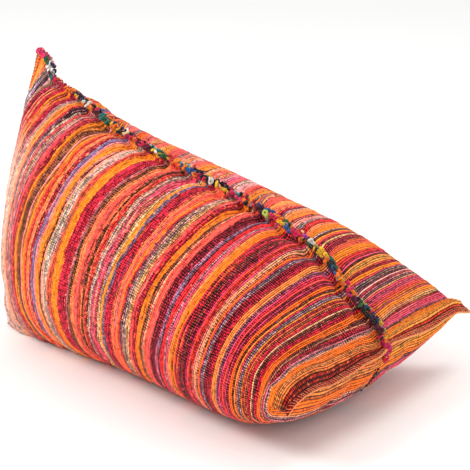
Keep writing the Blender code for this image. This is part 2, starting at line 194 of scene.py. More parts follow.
# How far the front closure is held up above its plain line, at places across the bag, and where the cloth
# of each panel begins to rise to it. Beyond the last places the corners turn down.
Rise = namedtuple("Rise", "y height")
FRONT_RISES = [
    Rise(-0.450, 0.012), Rise(-0.410, 0.040), Rise(-0.375, 0.052), Rise(-0.340, 0.053), Rise(-0.280, 0.047),
    Rise(-0.220, 0.031), Rise(-0.170, 0.027), Rise(-0.125, 0.023), Rise(-0.085, 0.022), Rise(-0.050, 0.017),
    Rise(0.000, 0.008), Rise(0.065, 0.017), Rise(0.145, 0.018), Rise(0.250, 0.015), Rise(0.310, 0.020),
    Rise(0.380, 0.022), Rise(0.420, 0.014), Rise(0.460, 0.004),
]
NEAR_RISE_START = 0.90
FAR_RISE_START = 0.95
LOWER_RISE_START = 0.94
FAR_CORNER_RISE_START = 0.978
FAR_CORNER_GIRTH = (2.3, 2.7)

# Towards the front the two seams swing over to the far side: how far, from where to where along the bag,
# and how far round the cloth follows them.
SEAM_SWING = 0.030
SEAM_SWING_ALONG = (0.86, 0.95)
SEAM_SWING_REACH = 0.12

# The upright closure sags back below the tip of the peak: the middle of the sag, its reach and its depth.
SAG_HEIGHT = 0.646
SAG_REACH = 0.057
SAG_DEPTH = 0.016
SAG_END = 0.15

# The peak is pinched thin near its tip: how far from it, and the share of its thickness that is left.
PEAK_PINCH = 0.11
PEAK_SPREAD = 0.45

# Dyes of the cloth, as the eye reads them in daylight, in sRGB from 0 to 255, and how strongly the warp
# ticks show in each: the painted shade of the dents that the warp presses into the picks.
Dye = namedtuple("Dye", "red green blue ticks")
DYES = {
    "orange": Dye(252, 128, 34, 0.34),
    "gold": Dye(246, 142, 50, 0.40),
    "tangerine": Dye(246, 94, 30, 0.34),
    "peach": Dye(252, 132, 84, 0.34),
    "coral": Dye(242, 86, 74, 0.36),
    "red": Dye(214, 44, 44, 0.50),
    # The scarlet of the front hem's band is darkened with painted shade, for the shadow in its fold.
    "scarlet": Dye(126, 20, 14, 0.45),
    "crimson": Dye(200, 38, 60, 0.80),
    "maroon": Dye(146, 34, 50, 1.00),
    "brown": Dye(150, 84, 58, 0.92),
    "umber": Dye(98, 46, 38, 1.00),
    "olive": Dye(180, 122, 58, 0.56),
    "tan": Dye(220, 136, 64, 0.42),
    "cream": Dye(220, 160, 118, 0.70),
    "rose": Dye(244, 140, 142, 0.40),
    "pink": Dye(234, 78, 112, 0.55),
    "silver": Dye(186, 148, 134, 0.70),
    "slate": Dye(128, 104, 110, 0.75),
    "mauve": Dye(150, 82, 98, 0.75),
    "violet": Dye(106, 88, 118, 0.50),
}

# The stripes of the two panels, from the back closure to the front one, each with its number of picks.
NEAR_STRIPES = """
    orange 4, crimson 1, peach 2, mauve 1, cream 1, slate 1, silver 1, mauve 1, silver 1, mauve 1,
    rose 1, slate 1, olive 1, silver 1, crimson 1, maroon 2, crimson 1, peach 1, red 1, crimson 1,
    orange 1, peach 1, orange 1, crimson 2, maroon 1, red 1, rose 1, silver 2, tan 1, gold 2,
    red 1, mauve 1, umber 1, silver 1, coral 1, mauve 1, cream 1, rose 1, mauve 1, coral 2,
    crimson 3, orange 2, brown 3, rose 1, gold 2, tangerine 1, red 2, peach 2, crimson 2,
    violet 2, rose 1, peach 1, orange 3, umber 1, rose 1, silver 3, peach 1, coral 2, orange 4,
    crimson 6, rose 1, brown 2, peach 2, coral 4, umber 2, peach 1, red 2, silver 3, pink 3,
    brown 1, cream 2, gold 2, violet 2, crimson 5, peach 2, coral 2, orange 1, red 1, mauve 2,
    silver 2, olive 2, coral 2, crimson 3, orange 3, brown 2, cream 1, coral 4, maroon 4, mauve 1,
    violet 2, crimson 1, red 2, pink 3, tan 1, orange 3, crimson 4, umber 2, maroon 3, tan 1,
    tangerine 1, red 3, cream 2, brown 1, orange 2, slate 2, maroon 2, crimson 3, tan 3, mauve 2,
    crimson 2, coral 1, maroon 3, orange 3, crimson 2, slate 2, gold 1, peach 2, brown 1,
    crimson 3, umber 2, crimson 2, orange 3, umber 3, crimson 4, rose 1, slate 2, cream 1,
    orange 4, tan 2, olive 1, tan 2, scarlet 2"""
FAR_STRIPES = """
    crimson 3, orange 4, coral 3, slate 1, peach 3, red 2, tan 2, coral 4, maroon 2, orange 3,
    mauve 2, crimson 4, peach 3, olive 1, coral 3, orange 3, violet 2, coral 2, tan 2, crimson 3,
    maroon 2, orange 4, peach 2, rose 2, coral 4, slate 2, tangerine 3, coral 3, mauve 1, peach 4,
    coral 4, tan 1, orange 3, coral 5, silver 2, coral 3, peach 3, rose 2, coral 4, orange 5,
    tan 2, peach 2, coral 3, olive 1, rose 3, pink 2, coral 3, slate 1, silver 2, rose 3, coral 4,
    orange 6, mauve 1, tan 2, coral 4, peach 6, crimson 2, slate 1, peach 3, orange 3, brown 2,
    rose 2, slate 2, red 3, peach 2, orange 7, coral 2, rose 1, maroon 4, coral 3, orange 4,
    red 4, mauve 1, tan 4, maroon 2, orange 3, slate 2, mauve 1, rose 1, mauve 2, slate 1, rose 1,
    pink 4, coral 2, orange 2, gold 2, tan 1, cream 2, maroon 1, pink 4, mauve 2, orange 2, tan 1,
    gold 2, olive 1, tan 2, scarlet 1"""
HEM_STRIPES = {"back": ["orange", "orange", "red"], "front": ["scarlet", "scarlet", "scarlet"]}

# Shares of the red, green and blue of a dye at places along each panel. The near panel is paled at its
# back, partly as dye faded by daylight and partly as painted glare, the far panel is brightened with
# painted light from above, and the dyes are warmer towards the front.
FadingAndLight = namedtuple("FadingAndLight", "along red green blue")
NEAR_FADING_AND_LIGHT = [
    FadingAndLight(0.00, 1.12, 1.48, 1.85), FadingAndLight(0.07, 1.10, 1.28, 1.50), FadingAndLight(0.15, 1.07, 1.12, 1.20),
    FadingAndLight(0.45, 1.12, 1.07, 1.02), FadingAndLight(0.70, 1.18, 0.94, 0.98), FadingAndLight(0.88, 1.12, 0.84, 0.92),
    FadingAndLight(1.00, 1.08, 0.78, 0.84),
]
FAR_FADING_AND_LIGHT = [
    FadingAndLight(0.00, 1.06, 1.10, 1.12), FadingAndLight(0.35, 1.09, 1.28, 1.38), FadingAndLight(0.65, 1.34, 1.42, 1.25),
    FadingAndLight(0.90, 1.28, 1.20, 1.05), FadingAndLight(1.00, 1.22, 1.05, 0.90),
]

# A rag strip ends on its way across the panel, and the next one may have the dye of a pick nearby: the
# usual length of a strip, how sharply one gives way to the next, how much of the other dye comes in,
# what of that is lost towards the front, and how many picks away it may be from.
STRIP_LENGTH = 0.12
STRIP_CHANGE = (0.42, 0.54)
STRIP_MIX = (0.3, 1.0)
STRIP_FRONT_LOSS = 0.5
STRIP_PICKS_AWAY = 4

# How unevenly the rag took its dye: from pick to pick, at the back and at the front, in lumps along a
# pick, and in its hue. No dye goes past the brightest.
SHADE_SPREADS = (0.20, 0.44)
SHADE_IN_LUMPS = 0.26
SHADE_LIMITS = (0.4, 1.6)
HUE_SPREAD = 0.09
HUE_LIMITS = (0.8, 1.2)
BRIGHTEST_DYE = 1.1

# Towards the front closure a pick here and there is of a stray dye.
STRAY_DYES = "gold cream pink umber slate maroon crimson".split()
STRAY_SHARE = 0.22
STRAYS_ALONG = (0.40, 0.70)
STRAYS_END = 0.93

# The near panel's fold beside the back closure is paled with painted glare, for the light that grazes it.
PAINTED_GLARE = (254, 214, 194)
PAINTED_GLARE_SHARE = 0.66
PAINTED_GLARE_FROM = (0.01, 0.09)
PAINTED_GLARE_TO = (0.11, 0.20)
PAINTED_GLARE_GIRTH = (0.30, 0.85)
PALE_LINT = (252, 178, 148)

# Dyes of the bunched loops, in sRGB from 0 to 255.
LOOP_DYES = {
    "black": (26, 20, 24),
    "maroon": (92, 12, 36),
    "red": (216, 26, 38),
    "crimson": (204, 16, 74),
    "pink": (232, 40, 110),
    "rose": (240, 150, 150),
    "orange": (250, 122, 20),
    "yellow": (246, 184, 30),
    "peach": (246, 172, 128),
    "cream": (238, 214, 150),
    "white": (230, 224, 214),
    "lime": (168, 184, 74),
    "green": (40, 92, 56),
    "teal": (30, 120, 112),
    "aqua": (110, 190, 190),
    "blue": (40, 86, 150),
    "navy": (28, 44, 90),
    "lilac": (176, 150, 190),
    "magenta": (190, 54, 176),
}

# The loops along the spine from the tip of the peak down, as they come on each side of the seam. Towards
# the front the near row's black, maroon and navy loops are painted shade: that row lies in shadow under
# the far one.
NEAR_LOOPS_WITH_SHADE = """pink green white maroon orange crimson crimson orange yellow navy white orange crimson maroon
teal green yellow orange black cream crimson maroon crimson maroon yellow green yellow red orange blue blue
orange crimson black white yellow yellow crimson pink black orange red maroon lime crimson orange yellow
blue crimson orange green black yellow orange maroon black blue orange crimson black maroon green maroon
black black black maroon black crimson""".split()
FAR_LOOPS = """crimson rose navy maroon rose lime orange peach orange black black green maroon black navy teal
orange rose navy white black orange maroon black aqua teal green orange crimson aqua aqua yellow crimson
black white yellow black maroon black rose aqua yellow red orange navy lime blue red white green yellow red
magenta white yellow lime yellow teal green orange yellow pink crimson orange black cream lime crimson navy
yellow lime yellow orange""".split()

# A tuft's loops in order, how far they are scattered, and their size.
Tuft = namedtuple("Tuft", "dyes spread size")
PEAK_TUFT = Tuft(
    "crimson crimson pink crimson yellow orange yellow orange crimson pink crimson rose pink".split(),
    0.0052, 0.0070)
FRONT_TUFT = Tuft("pink crimson pink crimson pink red crimson pink crimson red".split(), 0.0042, 0.0088)
FRONT_TUFT_DROP = np.array([-0.004, -0.010, -0.030])
PEAK_TUFT_REACH = np.array([0.020, 0.0, -0.004])

# The loops stand on the seam in two leaning rows, each set a little off its place and off its turn in the
# chart. Just below the peak they are smaller and pressed flat.
LOOP_PITCH = 0.0084
LOOP_SIZE = 0.0067
LOOP_LEAN = 0.0068
LOOP_LEANS = (0.75, 1.35)
LOOP_GROWN = 1.12
LOOP_OFF_PLACE = 0.003
LOOP_OFF_CHART = 0.8
LOOP_HEIGHTS = (0.003, 0.011)
MIDDLE_LOOP_SHARE = 0.45
MIDDLE_LOOP_LIFT = 0.004
STRAY_LOOP_SHARE = 0.08
LOOPS_PRESSED_AT = 0.12
LOOPS_PRESSED_REACH = 0.06
LOOPS_PRESSED_SIZE_LOSS = 0.36
LOOPS_PRESSED_HEIGHT_LOSS = 0.6
KEEL_LOOP_SIZE = 0.0064
KEEL_FREE_LOOP_SIZE = 0.0048
KEEL_FREE_LOOP_HEIGHTS = (-0.001, 0.003)
KEEL_LOOP_LEANS = (0.6, 1.1)
PRESSED_LOOP_Z = 0.0037
PRESSED_LOOP_FLATNESS = 0.36
# The keel's loops are dyed dark as painted shade, for they lie in shadow under the bag.
SHADED_KEEL_LOOPS = "black black black maroon maroon maroon green black navy maroon".split()
SPINE_LOOPS_END = 0.982
KEEL_LOOPS_ALONG = (0.02, 0.962)
KEEL_LOOPS_FREE_ABOVE = 0.012

# Whip stitches round the hems, and the light thread along the edge of the front one.
STITCH_PITCH = 0.0092
STITCH_SLANT = 0.0062
STITCH_SLANTS = (0.7, 1.2)
STITCH_OFF_PLACE = 0.0012
STITCH_WIDTHS = (0.44, 0.52)
STITCH_HALF_THICKNESS = 0.0046
FRONT_STITCH_DYES = [(255, 146, 104), (255, 160, 112), (246, 122, 84)]
BACK_STITCH_DYES = [(196, 48, 52), (150, 26, 44), (222, 96, 60)]
EDGE_THREAD_RADIUS = 0.0027
EDGE_THREAD_DYE = (255, 154, 78)


def smooth_step(value, low, high):
    share = np.clip((value - low) / (high - low), 0.0, 1.0)
    return share * share * (3.0 - 2.0 * share)


def smooth_curve(stations, values, wanted):
    """A smooth curve through a table's points that never overshoots between two of them."""
    stations, values, wanted = (np.asarray(part, float) for part in (stations, values, wanted))
    gaps = np.diff(stations)
    slopes = np.diff(values) / gaps
    tangents = np.zeros(len(values))
    for i in range(1, len(values) - 1):
        if slopes[i - 1] * slopes[i] > 0:
            first = 2 * gaps[i] + gaps[i - 1]
            second = gaps[i] + 2 * gaps[i - 1]
            tangents[i] = (first + second) / (first / slopes[i - 1] + second / slopes[i])
    tangents[0], tangents[-1] = slopes[0], slopes[-1]
    span = np.clip(np.searchsorted(stations, wanted) - 1, 0, len(gaps) - 1)
    t = (wanted - stations[span]) / gaps[span]
    rise = values[span + 1] - values[span]
    return (values[span] + rise * t * t * (3 - 2 * t)
            + gaps[span] * (tangents[span] * t * (1 - t) ** 2 - tangents[span + 1] * t * t * (1 - t)))


def table_curves(table, wanted):
    """Smooth curves through a table's columns, read at the wanted values of its first one."""
    stations, *columns = zip(*table)
    return [smooth_curve(stations, column, wanted) for column in columns]


def section_at(along):
    """Every column of SECTIONS, and the spine's place, at each distance along the bag."""
    names = Section._fields[1:] + ("spine_x", "spine_z")
    return dict(zip(names, table_curves(SECTIONS, along) + table_curves(SPINE, along)))


def reach_along(line):
    """How far along a line each of its points is."""
    return np.concatenate([[0], np.cumsum(np.linalg.norm(np.diff(line, axis=0), axis=1))])


def places_along(stops, reach, line):
    """Places on a line at the given stops, by how far along it each of its points is."""
    return np.stack([np.interp(stops, reach, line[:, axis]) for axis in range(3)], axis=-1)


def quarter_arc(middle, start, side, boxiness, shares):
    """Points of a quarter section from a seam (start) to the widest point (side), at shares of its length."""
    angle = np.linspace(0, math.pi / 2, ARC_STEPS + 1)
    towards_start = np.cos(angle) ** boxiness
    towards_side = np.sin(angle) ** boxiness
    arc = middle + np.outer(towards_start, start - middle) + np.outer(towards_side, side - middle)
    reach = reach_along(arc)
    return places_along(np.asarray(shares) * reach[-1], reach, arc)


def bare_surface(alongs, shares):
    """The filled tube without its small forms: rows along the bag, columns round it from the spine,
    down the near panel, along the keel and up the far panel."""
    columns = section_at(alongs)
    rows = []
    for i in range(len(alongs)):
        value = {name: column[i] for name, column in columns.items()}
        spine = np.array([value["spine_x"], 0.0, value["spine_z"]])
        keel = np.array([value["keel_x"], 0.0, value["keel_z"]])
        halves = []
        for panel, y_sign in (("near", -1), ("far", 1)):
            side = np.array([value[panel + "_x"], y_sign * value[panel + "_y"], value[panel + "_z"]])
            share = np.clip((side[2] - keel[2]) / (spine[2] - keel[2]), 0.0, 1.0)
            middle = keel + (spine - keel) * share
            upper = quarter_arc(middle, spine, side, value["top"], shares)
            lower = quarter_arc(middle, keel, side, value["base"], shares)[::-1]
            halves.append(np.vstack([upper[:-1], lower]))
        near, far = halves
        rows.append(np.vstack([near, far[::-1][1:-1]]))
    return np.array(rows)


def to_length_one(vectors):
    return vectors / np.maximum(np.linalg.norm(vectors, axis=-1, keepdims=True), 1e-9)


def outward_normals(grid):
    round_step = np.roll(grid, -1, axis=1) - np.roll(grid, 1, axis=1)
    along_step = np.gradient(grid, axis=0)
    return to_length_one(np.cross(round_step, along_step))


def between_rows(a, b, c, d, t):
    """A smooth curve through four even rows, read at the share t from the second to the third."""
    return 0.5 * (2 * b + (c - a) * t + (2 * a - 5 * b + 4 * c - d) * t ** 2
                  + (3 * b - a - 3 * c + d) * t ** 3)


def glide(values, places):
    """Rows of a table read at fractional places on a smooth curve through them."""
    last = len(values) - 1
    low = np.clip(np.floor(places).astype(int), 0, max(last - 1, 0))
    t = (places - low).reshape(places.shape + (1,) * (values.ndim - 1))
    return between_rows(*(values[np.clip(low + step, 0, last)] for step in (-1, 0, 1, 2)), t)


def soft_noise(seed, alongs, girths, cell):
    """Smooth noise from about -1 to 1 over the cloth, with one random value for each cell, in metres."""
    random = np.random.default_rng(seed)
    size = [int(math.ceil(places[-1] / side)) + 4 for places, side in zip((alongs, girths), cell)]
    coarse = random.uniform(-1, 1, size)
    across = glide(coarse, alongs / cell[0] + 1)
    return glide(across.T, girths / cell[1] + 1).T


def crease_depth(crease, along, girth):
    """Depth of one crease at each point, measured in metres across the cloth."""
    start = np.array([crease.along_a * SEAM_LENGTH, crease.girth_a * QUARTER_LENGTH])
    end = np.array([crease.along_b * SEAM_LENGTH, crease.girth_b * QUARTER_LENGTH])
    place = np.stack([along * SEAM_LENGTH, girth * QUARTER_LENGTH], axis=-1)
    line = end - start
    share = np.clip(((place - start) @ line) / (line @ line), 0.0, 1.0)
    away = np.linalg.norm(place - start - share[..., None] * line, axis=-1)
    fade = np.sin(math.pi * (CREASE_END + (1 - 2 * CREASE_END) * share))
    return crease.depth * fade * np.exp(-(away / crease.width) ** 2)


def column_shares():
    """Places of the columns in a quarter, closer together near the seam."""
    even = np.linspace(0, 1, COLUMNS_PER_QUARTER + 1)
    return even * (0.28 + 0.72 * even)


def column_girths():
    """The girth of each column in quarter turns from the spine."""
    shares = column_shares()
    falling, rising = shares[:-1], 1 - shares[::-1][:-1]
    return np.concatenate([falling, 1 + rising, 2 + falling, 3 + rising])


def seam_distances():
    """How far each column is from the spine seam and from the keel seam."""
    girths = column_girths() * QUARTER_LENGTH
    return np.minimum(girths, 4 * QUARTER_LENGTH - girths), np.abs(girths - 2 * QUARTER_LENGTH)


def ridge(distance, reach, height=1.0):
    """A ridge beside a seam, highest at its reach from it."""
    return height * (distance / reach) * np.exp(1 - distance / reach)


def clear_of_ends(place, end, back_reach, front_reach):
    """A share from 0 at both closures to 1 beyond their reaches."""
    return smooth_step(place, 0.0, back_reach) * smooth_step(end - place, 0.0, front_reach)


def cover_surface(alongs):
    """The filled tube with its puckers, creases, seam gutters, peak and front corners, on the floor."""
    grid = bare_surface(alongs, column_shares())
    girths = column_girths()
    along, girth = np.meshgrid(alongs, girths, indexing="ij")
    from_spine = np.minimum(girth, 4 - girth) * QUARTER_LENGTH
    from_keel = np.abs(girth - 2) * QUARTER_LENGTH
    off_floor = smooth_step(along, *KEEL_LEAVES_FLOOR)
    normals = outward_normals(grid)
    lengths, rounds = alongs * SEAM_LENGTH, girths * QUARTER_LENGTH

    closing = clear_of_ends(along, 1, CLOSING_REACH, CLOSING_REACH)
    clear_of_hems = clear_of_ends(along, 1, CREASE_FROM_HEM, CREASE_FROM_HEM)
    side_shift = np.where(girth < 2, 0.0, 0.5)
    uneven = soft_noise(3, lengths, rounds, (0.09, 0.9))
    phase = along * SEAM_LENGTH / PUCKER_PITCH + side_shift + PUCKER_SPACING_UNEVENNESS * uneven
    wave = 2 * np.abs(np.sin(math.pi * phase)) ** PUCKER_ROUNDNESS - PUCKER_LEVEL
    wave *= PUCKER_SHARE + PUCKER_UNEVENNESS * soft_noise(4, lengths, rounds, (0.06, 0.9))
    near_spine = ridge(from_spine, PUCKER_REACH)
    near_keel = ridge(from_keel, PUCKER_REACH, KEEL_PUCKER_SHARE)
    gutter = ridge(from_spine, GUTTER_REACH)
    keel_valley = np.exp(-(from_keel / KEEL_VALLEY_REACH) ** 2)
    lift = PUCKER_HEIGHT * wave * closing * (near_spine + near_keel * off_floor)
    lift = np.where(girth < 2, lift, FAR_PUCKER_SHARE * lift)
    lift = lift - GUTTER_DEPTH * closing * gutter * (1 - GUTTER_WAVE * wave)
    lift = lift - KEEL_VALLEY_DEPTH * closing * keel_valley * off_floor
    for crease in CREASES:
        lift = lift - crease_depth(crease, along, girth) * clear_of_hems
    grid = grid + normals * lift[..., None]

    tip = np.array([SPINE[0].x, 0.0, SPINE[0].z])
    from_tip = np.linalg.norm(grid - tip, axis=2)
    grid[..., 1] *= PEAK_SPREAD + (1 - PEAK_SPREAD) * smooth_step(from_tip, 0.0, PEAK_PINCH)

    swing = smooth_step(along, *SEAM_SWING_ALONG) * np.exp(
        -(np.minimum(from_spine, from_keel) / SEAM_SWING_REACH) ** 2)
    grid[..., 1] += SEAM_SWING * swing

    sag = np.exp(-((grid[..., 2] - SAG_HEIGHT) / SAG_REACH) ** 2) * (1 - smooth_step(along, 0.0, SAG_END))
    grid[..., 0] -= SAG_DEPTH * sag
    rise, = table_curves(FRONT_RISES, np.clip(grid[..., 1], FRONT_RISES[0].y, FRONT_RISES[-1].y))
    at_far_corner = smooth_step(girth, *FAR_CORNER_GIRTH)
    lower = LOWER_RISE_START + (FAR_CORNER_RISE_START - LOWER_RISE_START) * at_far_corner
    start = np.where(girth < 1, NEAR_RISE_START, np.where(girth > 3, FAR_RISE_START, lower))
    grid[..., 2] += rise * smooth_step(along, start, 1.0)

    grid[..., 2] = np.maximum(grid[..., 2], 0.0)
    channel = 1 - smooth_step(from_keel, CHANNEL_INNER, CHANNEL_OUTER)
    resting = grid[..., 2] < CHANNEL_DEPTH
    raised = np.maximum(grid[..., 2], CHANNEL_DEPTH * channel)
    grid[..., 2] = np.where(resting & (from_keel < CHANNEL_OUTER), raised, grid[..., 2])
    grid -= np.array([MIDDLE_X, MIDDLE_Y, 0.0])
    return grid


def placed(name, data):
    """A new object of the scene at the origin."""
    piece = bpy.data.objects.new(name, data)
    bpy.context.scene.collection.objects.link(piece)
    return piece


def pick_out(pieces):
    """Selects these pieces alone, the first one active."""
    bpy.ops.object.select_all(action="DESELECT")
    for piece in pieces:
        piece.select_set(True)
    bpy.context.view_layer.objects.active = pieces[0]


def mesh_piece(name, rows, faces):
    mesh = bpy.data.meshes.new(name)
    mesh.from_pydata(rows.reshape(-1, 3).tolist(), [], faces)
    return placed(name, mesh)


def ring_faces(row_count, column_count):
    """Quads of a tube of rows, each row a closed ring."""
    row, column = np.meshgrid(np.arange(row_count - 1), np.arange(column_count), indexing="ij")
    after = (column + 1) % column_count
    corners = [row * column_count + column, row * column_count + after,
               (row + 1) * column_count + after, (row + 1) * column_count + column]
    return np.stack(corners, axis=-1).reshape(-1, 4).tolist()


def linear(colour):
    """A colour from 0 to 255 in sRGB as Blender's linear values."""
    share = np.asarray(colour, float) / 255
    return np.where(share <= 0.04045, share / 12.92, ((share + 0.055) / 1.055) ** 2.4)


def dye_corners(mesh, name, values):
    """Stores one dye for each face corner of a mesh."""
    dye = mesh.color_attributes.new(name, "FLOAT_COLOR", "CORNER")
    dye.data.foreach_set("color", values.astype(np.float32).ravel())


def dye_all(mesh, colour):
    dye_corners(mesh, "dye", np.tile([*linear(colour), 1.0], (len(mesh.loops), 1)))


def panel_chart(stripes):
    """The dye of every pick of a panel with its hems, from its back closure to its front one."""
    names = []
    for stripe in stripes.split(","):
        name, picks = stripe.split()
        names += [name] * int(picks)
    return HEM_STRIPES["back"] + names + HEM_STRIPES["front"]


def pick_colours(names, seed, girths, fading_and_light):
    """The dye of each pick at each column, uneven from pick to pick and along each pick, where one rag
    strip ends and the next begins, and the dye that is mingled with it, faded and lit with painted light
    by the panel's table. The fourth value is how strongly the painted shade of the warp's dents shows."""
    random = np.random.default_rng(seed)
    table = {name: np.array([*linear(dye[:3]), dye.ticks]) for name, dye in DYES.items()}
    base = np.array([table[name] for name in names])
    count = len(names)
    places = np.arange(count) / (count - 1)
    strays = np.random.default_rng(seed + 7)
    stray_shares = STRAY_SHARE * smooth_step(places, *STRAYS_ALONG) * (places < STRAYS_END)
    for k in np.flatnonzero(strays.random(count) < stray_shares):
        base[k] = table[str(strays.choice(STRAY_DYES))]
    away = random.integers(-STRIP_PICKS_AWAY, STRIP_PICKS_AWAY + 1, count)
    neighbour = base[np.clip(np.arange(count) + away, 0, count - 1)]
    picks = np.arange(count) * PICK_PITCH
    drift = soft_noise(seed + 1, picks, girths, (PICK_PITCH, STRIP_LENGTH))
    swap = smooth_step(drift, *STRIP_CHANGE)[..., None] * random.uniform(*STRIP_MIX, (count, 1, 1))
    swap = swap * (1 - STRIP_FRONT_LOSS * smooth_step(places, *STRAYS_ALONG))[:, None, None]
    colour = base[:, None] * (1 - swap) + neighbour[:, None] * swap
    shade = 1 + np.linspace(*SHADE_SPREADS, count)[:, None] * random.standard_normal((count, 1))
    shade = shade + SHADE_IN_LUMPS * soft_noise(seed + 2, picks, girths, (PICK_PITCH, LUMP_LENGTH))
    colour[..., :3] *= np.clip(shade, *SHADE_LIMITS)[..., None]
    warm = 1 + HUE_SPREAD * random.standard_normal((count, 1, 3))
    colour[..., :3] *= np.clip(warm, *HUE_LIMITS)
    # Faded dye and painted light from the panel's table.
    faded_and_lit = np.stack(table_curves(fading_and_light, places), axis=1)
    colour[..., :3] *= faded_and_lit[:, None]
    colour[..., :3] /= np.maximum(1.0, colour[..., :3].max(axis=2, keepdims=True) / BRIGHTEST_DYE)
    mingled = base[np.clip(np.arange(count) + random.choice([-2, -1, -1, 1, 1, 2], count), 0, count - 1)]
    mingled[:, :3] *= faded_and_lit
    mingled = np.repeat(mingled[:, None], colour.shape[1], axis=1)
    return np.clip(colour, 0, BRIGHTEST_DYE), np.clip(mingled, 0, BRIGHTEST_DYE)


def hem_rows(edge_row, inner_row, partner, folded=None, droop=0.0):
    """Rows of the hem beyond a closure, from its root to its rounded edge, as pairs of facing points. The
    fold, a share for each height, lays the hem over towards the far side, and the droop lets it hang."""
    middle = (edge_row + edge_row[partner]) / 2
    outward = to_length_one(middle - (inner_row + inner_row[partner]) / 2)
    if folded is not None:
        share = np.interp(middle[:, 2], *folded)[:, None]
        outward = to_length_one(outward * (1 - share) + np.array([0.0, 1.0, 0.0]) * share)
    outward = to_length_one(outward * math.cos(droop) - np.array([0.0, 0.0, 1.0]) * math.sin(droop))
    across = edge_row - edge_row[partner]
    across = across - outward * np.sum(across * outward, axis=1, keepdims=True)
    length = np.linalg.norm(across, axis=1, keepdims=True)
    across = np.where(length > 1e-7, across / np.maximum(length, 1e-9), 0.0)
    rows = []
    for share in np.linspace(0, 1, HEM_PICKS * ROWS_PER_PICK + 1)[1:]:
        swell = smooth_step(share, 0.0, HEM_SWELLS_BY)
        half = HEM_ROOT_HALF_THICKNESS + (HEM_HALF_THICKNESS - HEM_ROOT_HALF_THICKNESS) * swell
        rounded = max(0.0, (share - HEM_ROUND_FROM) / (1 - HEM_ROUND_FROM))
        half *= math.sqrt(1 - HEM_ROUNDING * rounded ** 2)
        rows.append(middle + outward * HEM_WIDTH * share + across * half)
    return rows


def facing_order(partner):
    """The points of a flat closure's one cloth, from the corner where the two cloths meet to the other."""
    start = next(i for i in range(len(partner)) if partner[i] == i)
    return (start + np.arange(len(partner) // 2 + 1)) % len(partner)


def middle_line(row, partner):
    """The line midway between the two cloths of a flat closure, from corner to corner."""
    return ((row + row[partner]) / 2)[facing_order(partner)]


def closing_faces(first, partner, front):
    """Quads and two end triangles that close a ring whose points face each other in pairs."""
    faces = []
    order = facing_order(partner)
    for a, b in zip(order[:-1], order[1:]):
        corners = [a, b, partner[b], partner[a]] if front else [b, a, partner[a], partner[b]]
        faces.append([first + int(corner) for corner in dict.fromkeys(corners)])
    return faces


def woven_rows(settled):
    """The settled surface read at every third of a pick, with wandering picks and raised ribs."""
    count = settled.shape[1]
    rows = PICKS * ROWS_PER_PICK + 1
    girths = column_girths() * QUARTER_LENGTH
    lengths = np.linspace(0, 1, rows) * SEAM_LENGTH
    from_spine, from_keel = seam_distances()
    place = np.repeat(lengths[:, None], count, axis=1)
    wander = sum(row.far * soft_noise(row.seed, lengths, girths, (row.along, row.across)) for row in WANDERS)
    wander *= smooth_step(np.minimum(from_spine, from_keel), 0.0, WANDER_HELD_WITHIN)
    wander *= WANDER_SHARE - WANDER_LOSS * smooth_step(place / SEAM_LENGTH, *WANDER_LOSS_ALONG)
    hook = ridge(from_spine, HOOK_REACH, HOOK_LENGTH)
    hook = hook * (HOOK_SHARE + HOOK_WAVE * np.cos(2 * math.pi * (place / PUCKER_PITCH - HOOK_SHIFT)))
    free = clear_of_ends(place, SEAM_LENGTH, WANDER_HELD_WITHIN, WANDER_HELD_WITHIN)
    place = place + (wander + hook) * free
    at = place / SEAM_LENGTH * (len(settled) - 1)
    low = np.clip(np.floor(at).astype(int), 0, len(settled) - 2)
    steps = (np.clip(low + step, 0, len(settled) - 1) for step in (-1, 0, 1, 2))
    grid = between_rows(*(settled[step, np.arange(count)] for step in steps), (at - low)[..., None])

    random = np.random.default_rng(21)
    thickness = np.repeat(random.uniform(*RIB_THICKNESSES, PICKS), ROWS_PER_PICK)
    uneven = soft_noise(22, lengths, girths, (PICK_PITCH, LUMP_LENGTH))
    thickness = np.append(thickness, 1.0)[:, None] * (1 + RIB_UNEVENNESS * uneven)
    crown = (np.arange(rows) % ROWS_PER_PICK > 0)[:, None] * 1.0
    normals = outward_normals(grid)
    flat = smooth_step(grid[..., 2], 0.0, RIB_PRESSED_BELOW)
    grid += normals * (RIB_HEIGHT * crown * thickness * flat)[..., None]
    grid[..., 2] = np.maximum(grid[..., 2], 0.0)
    return grid


def slow_part(move):
    """The part of a move that changes slowly over the cloth."""
    for _ in range(SETTLE_SMOOTHINGS):
        before, after = np.vstack([move[:1], move[:-1]]), np.vstack([move[1:], move[-1:]])
        move = (2 * move + before + after + np.roll(move, 1, axis=1) + np.roll(move, -1, axis=1)) / 6
    return move


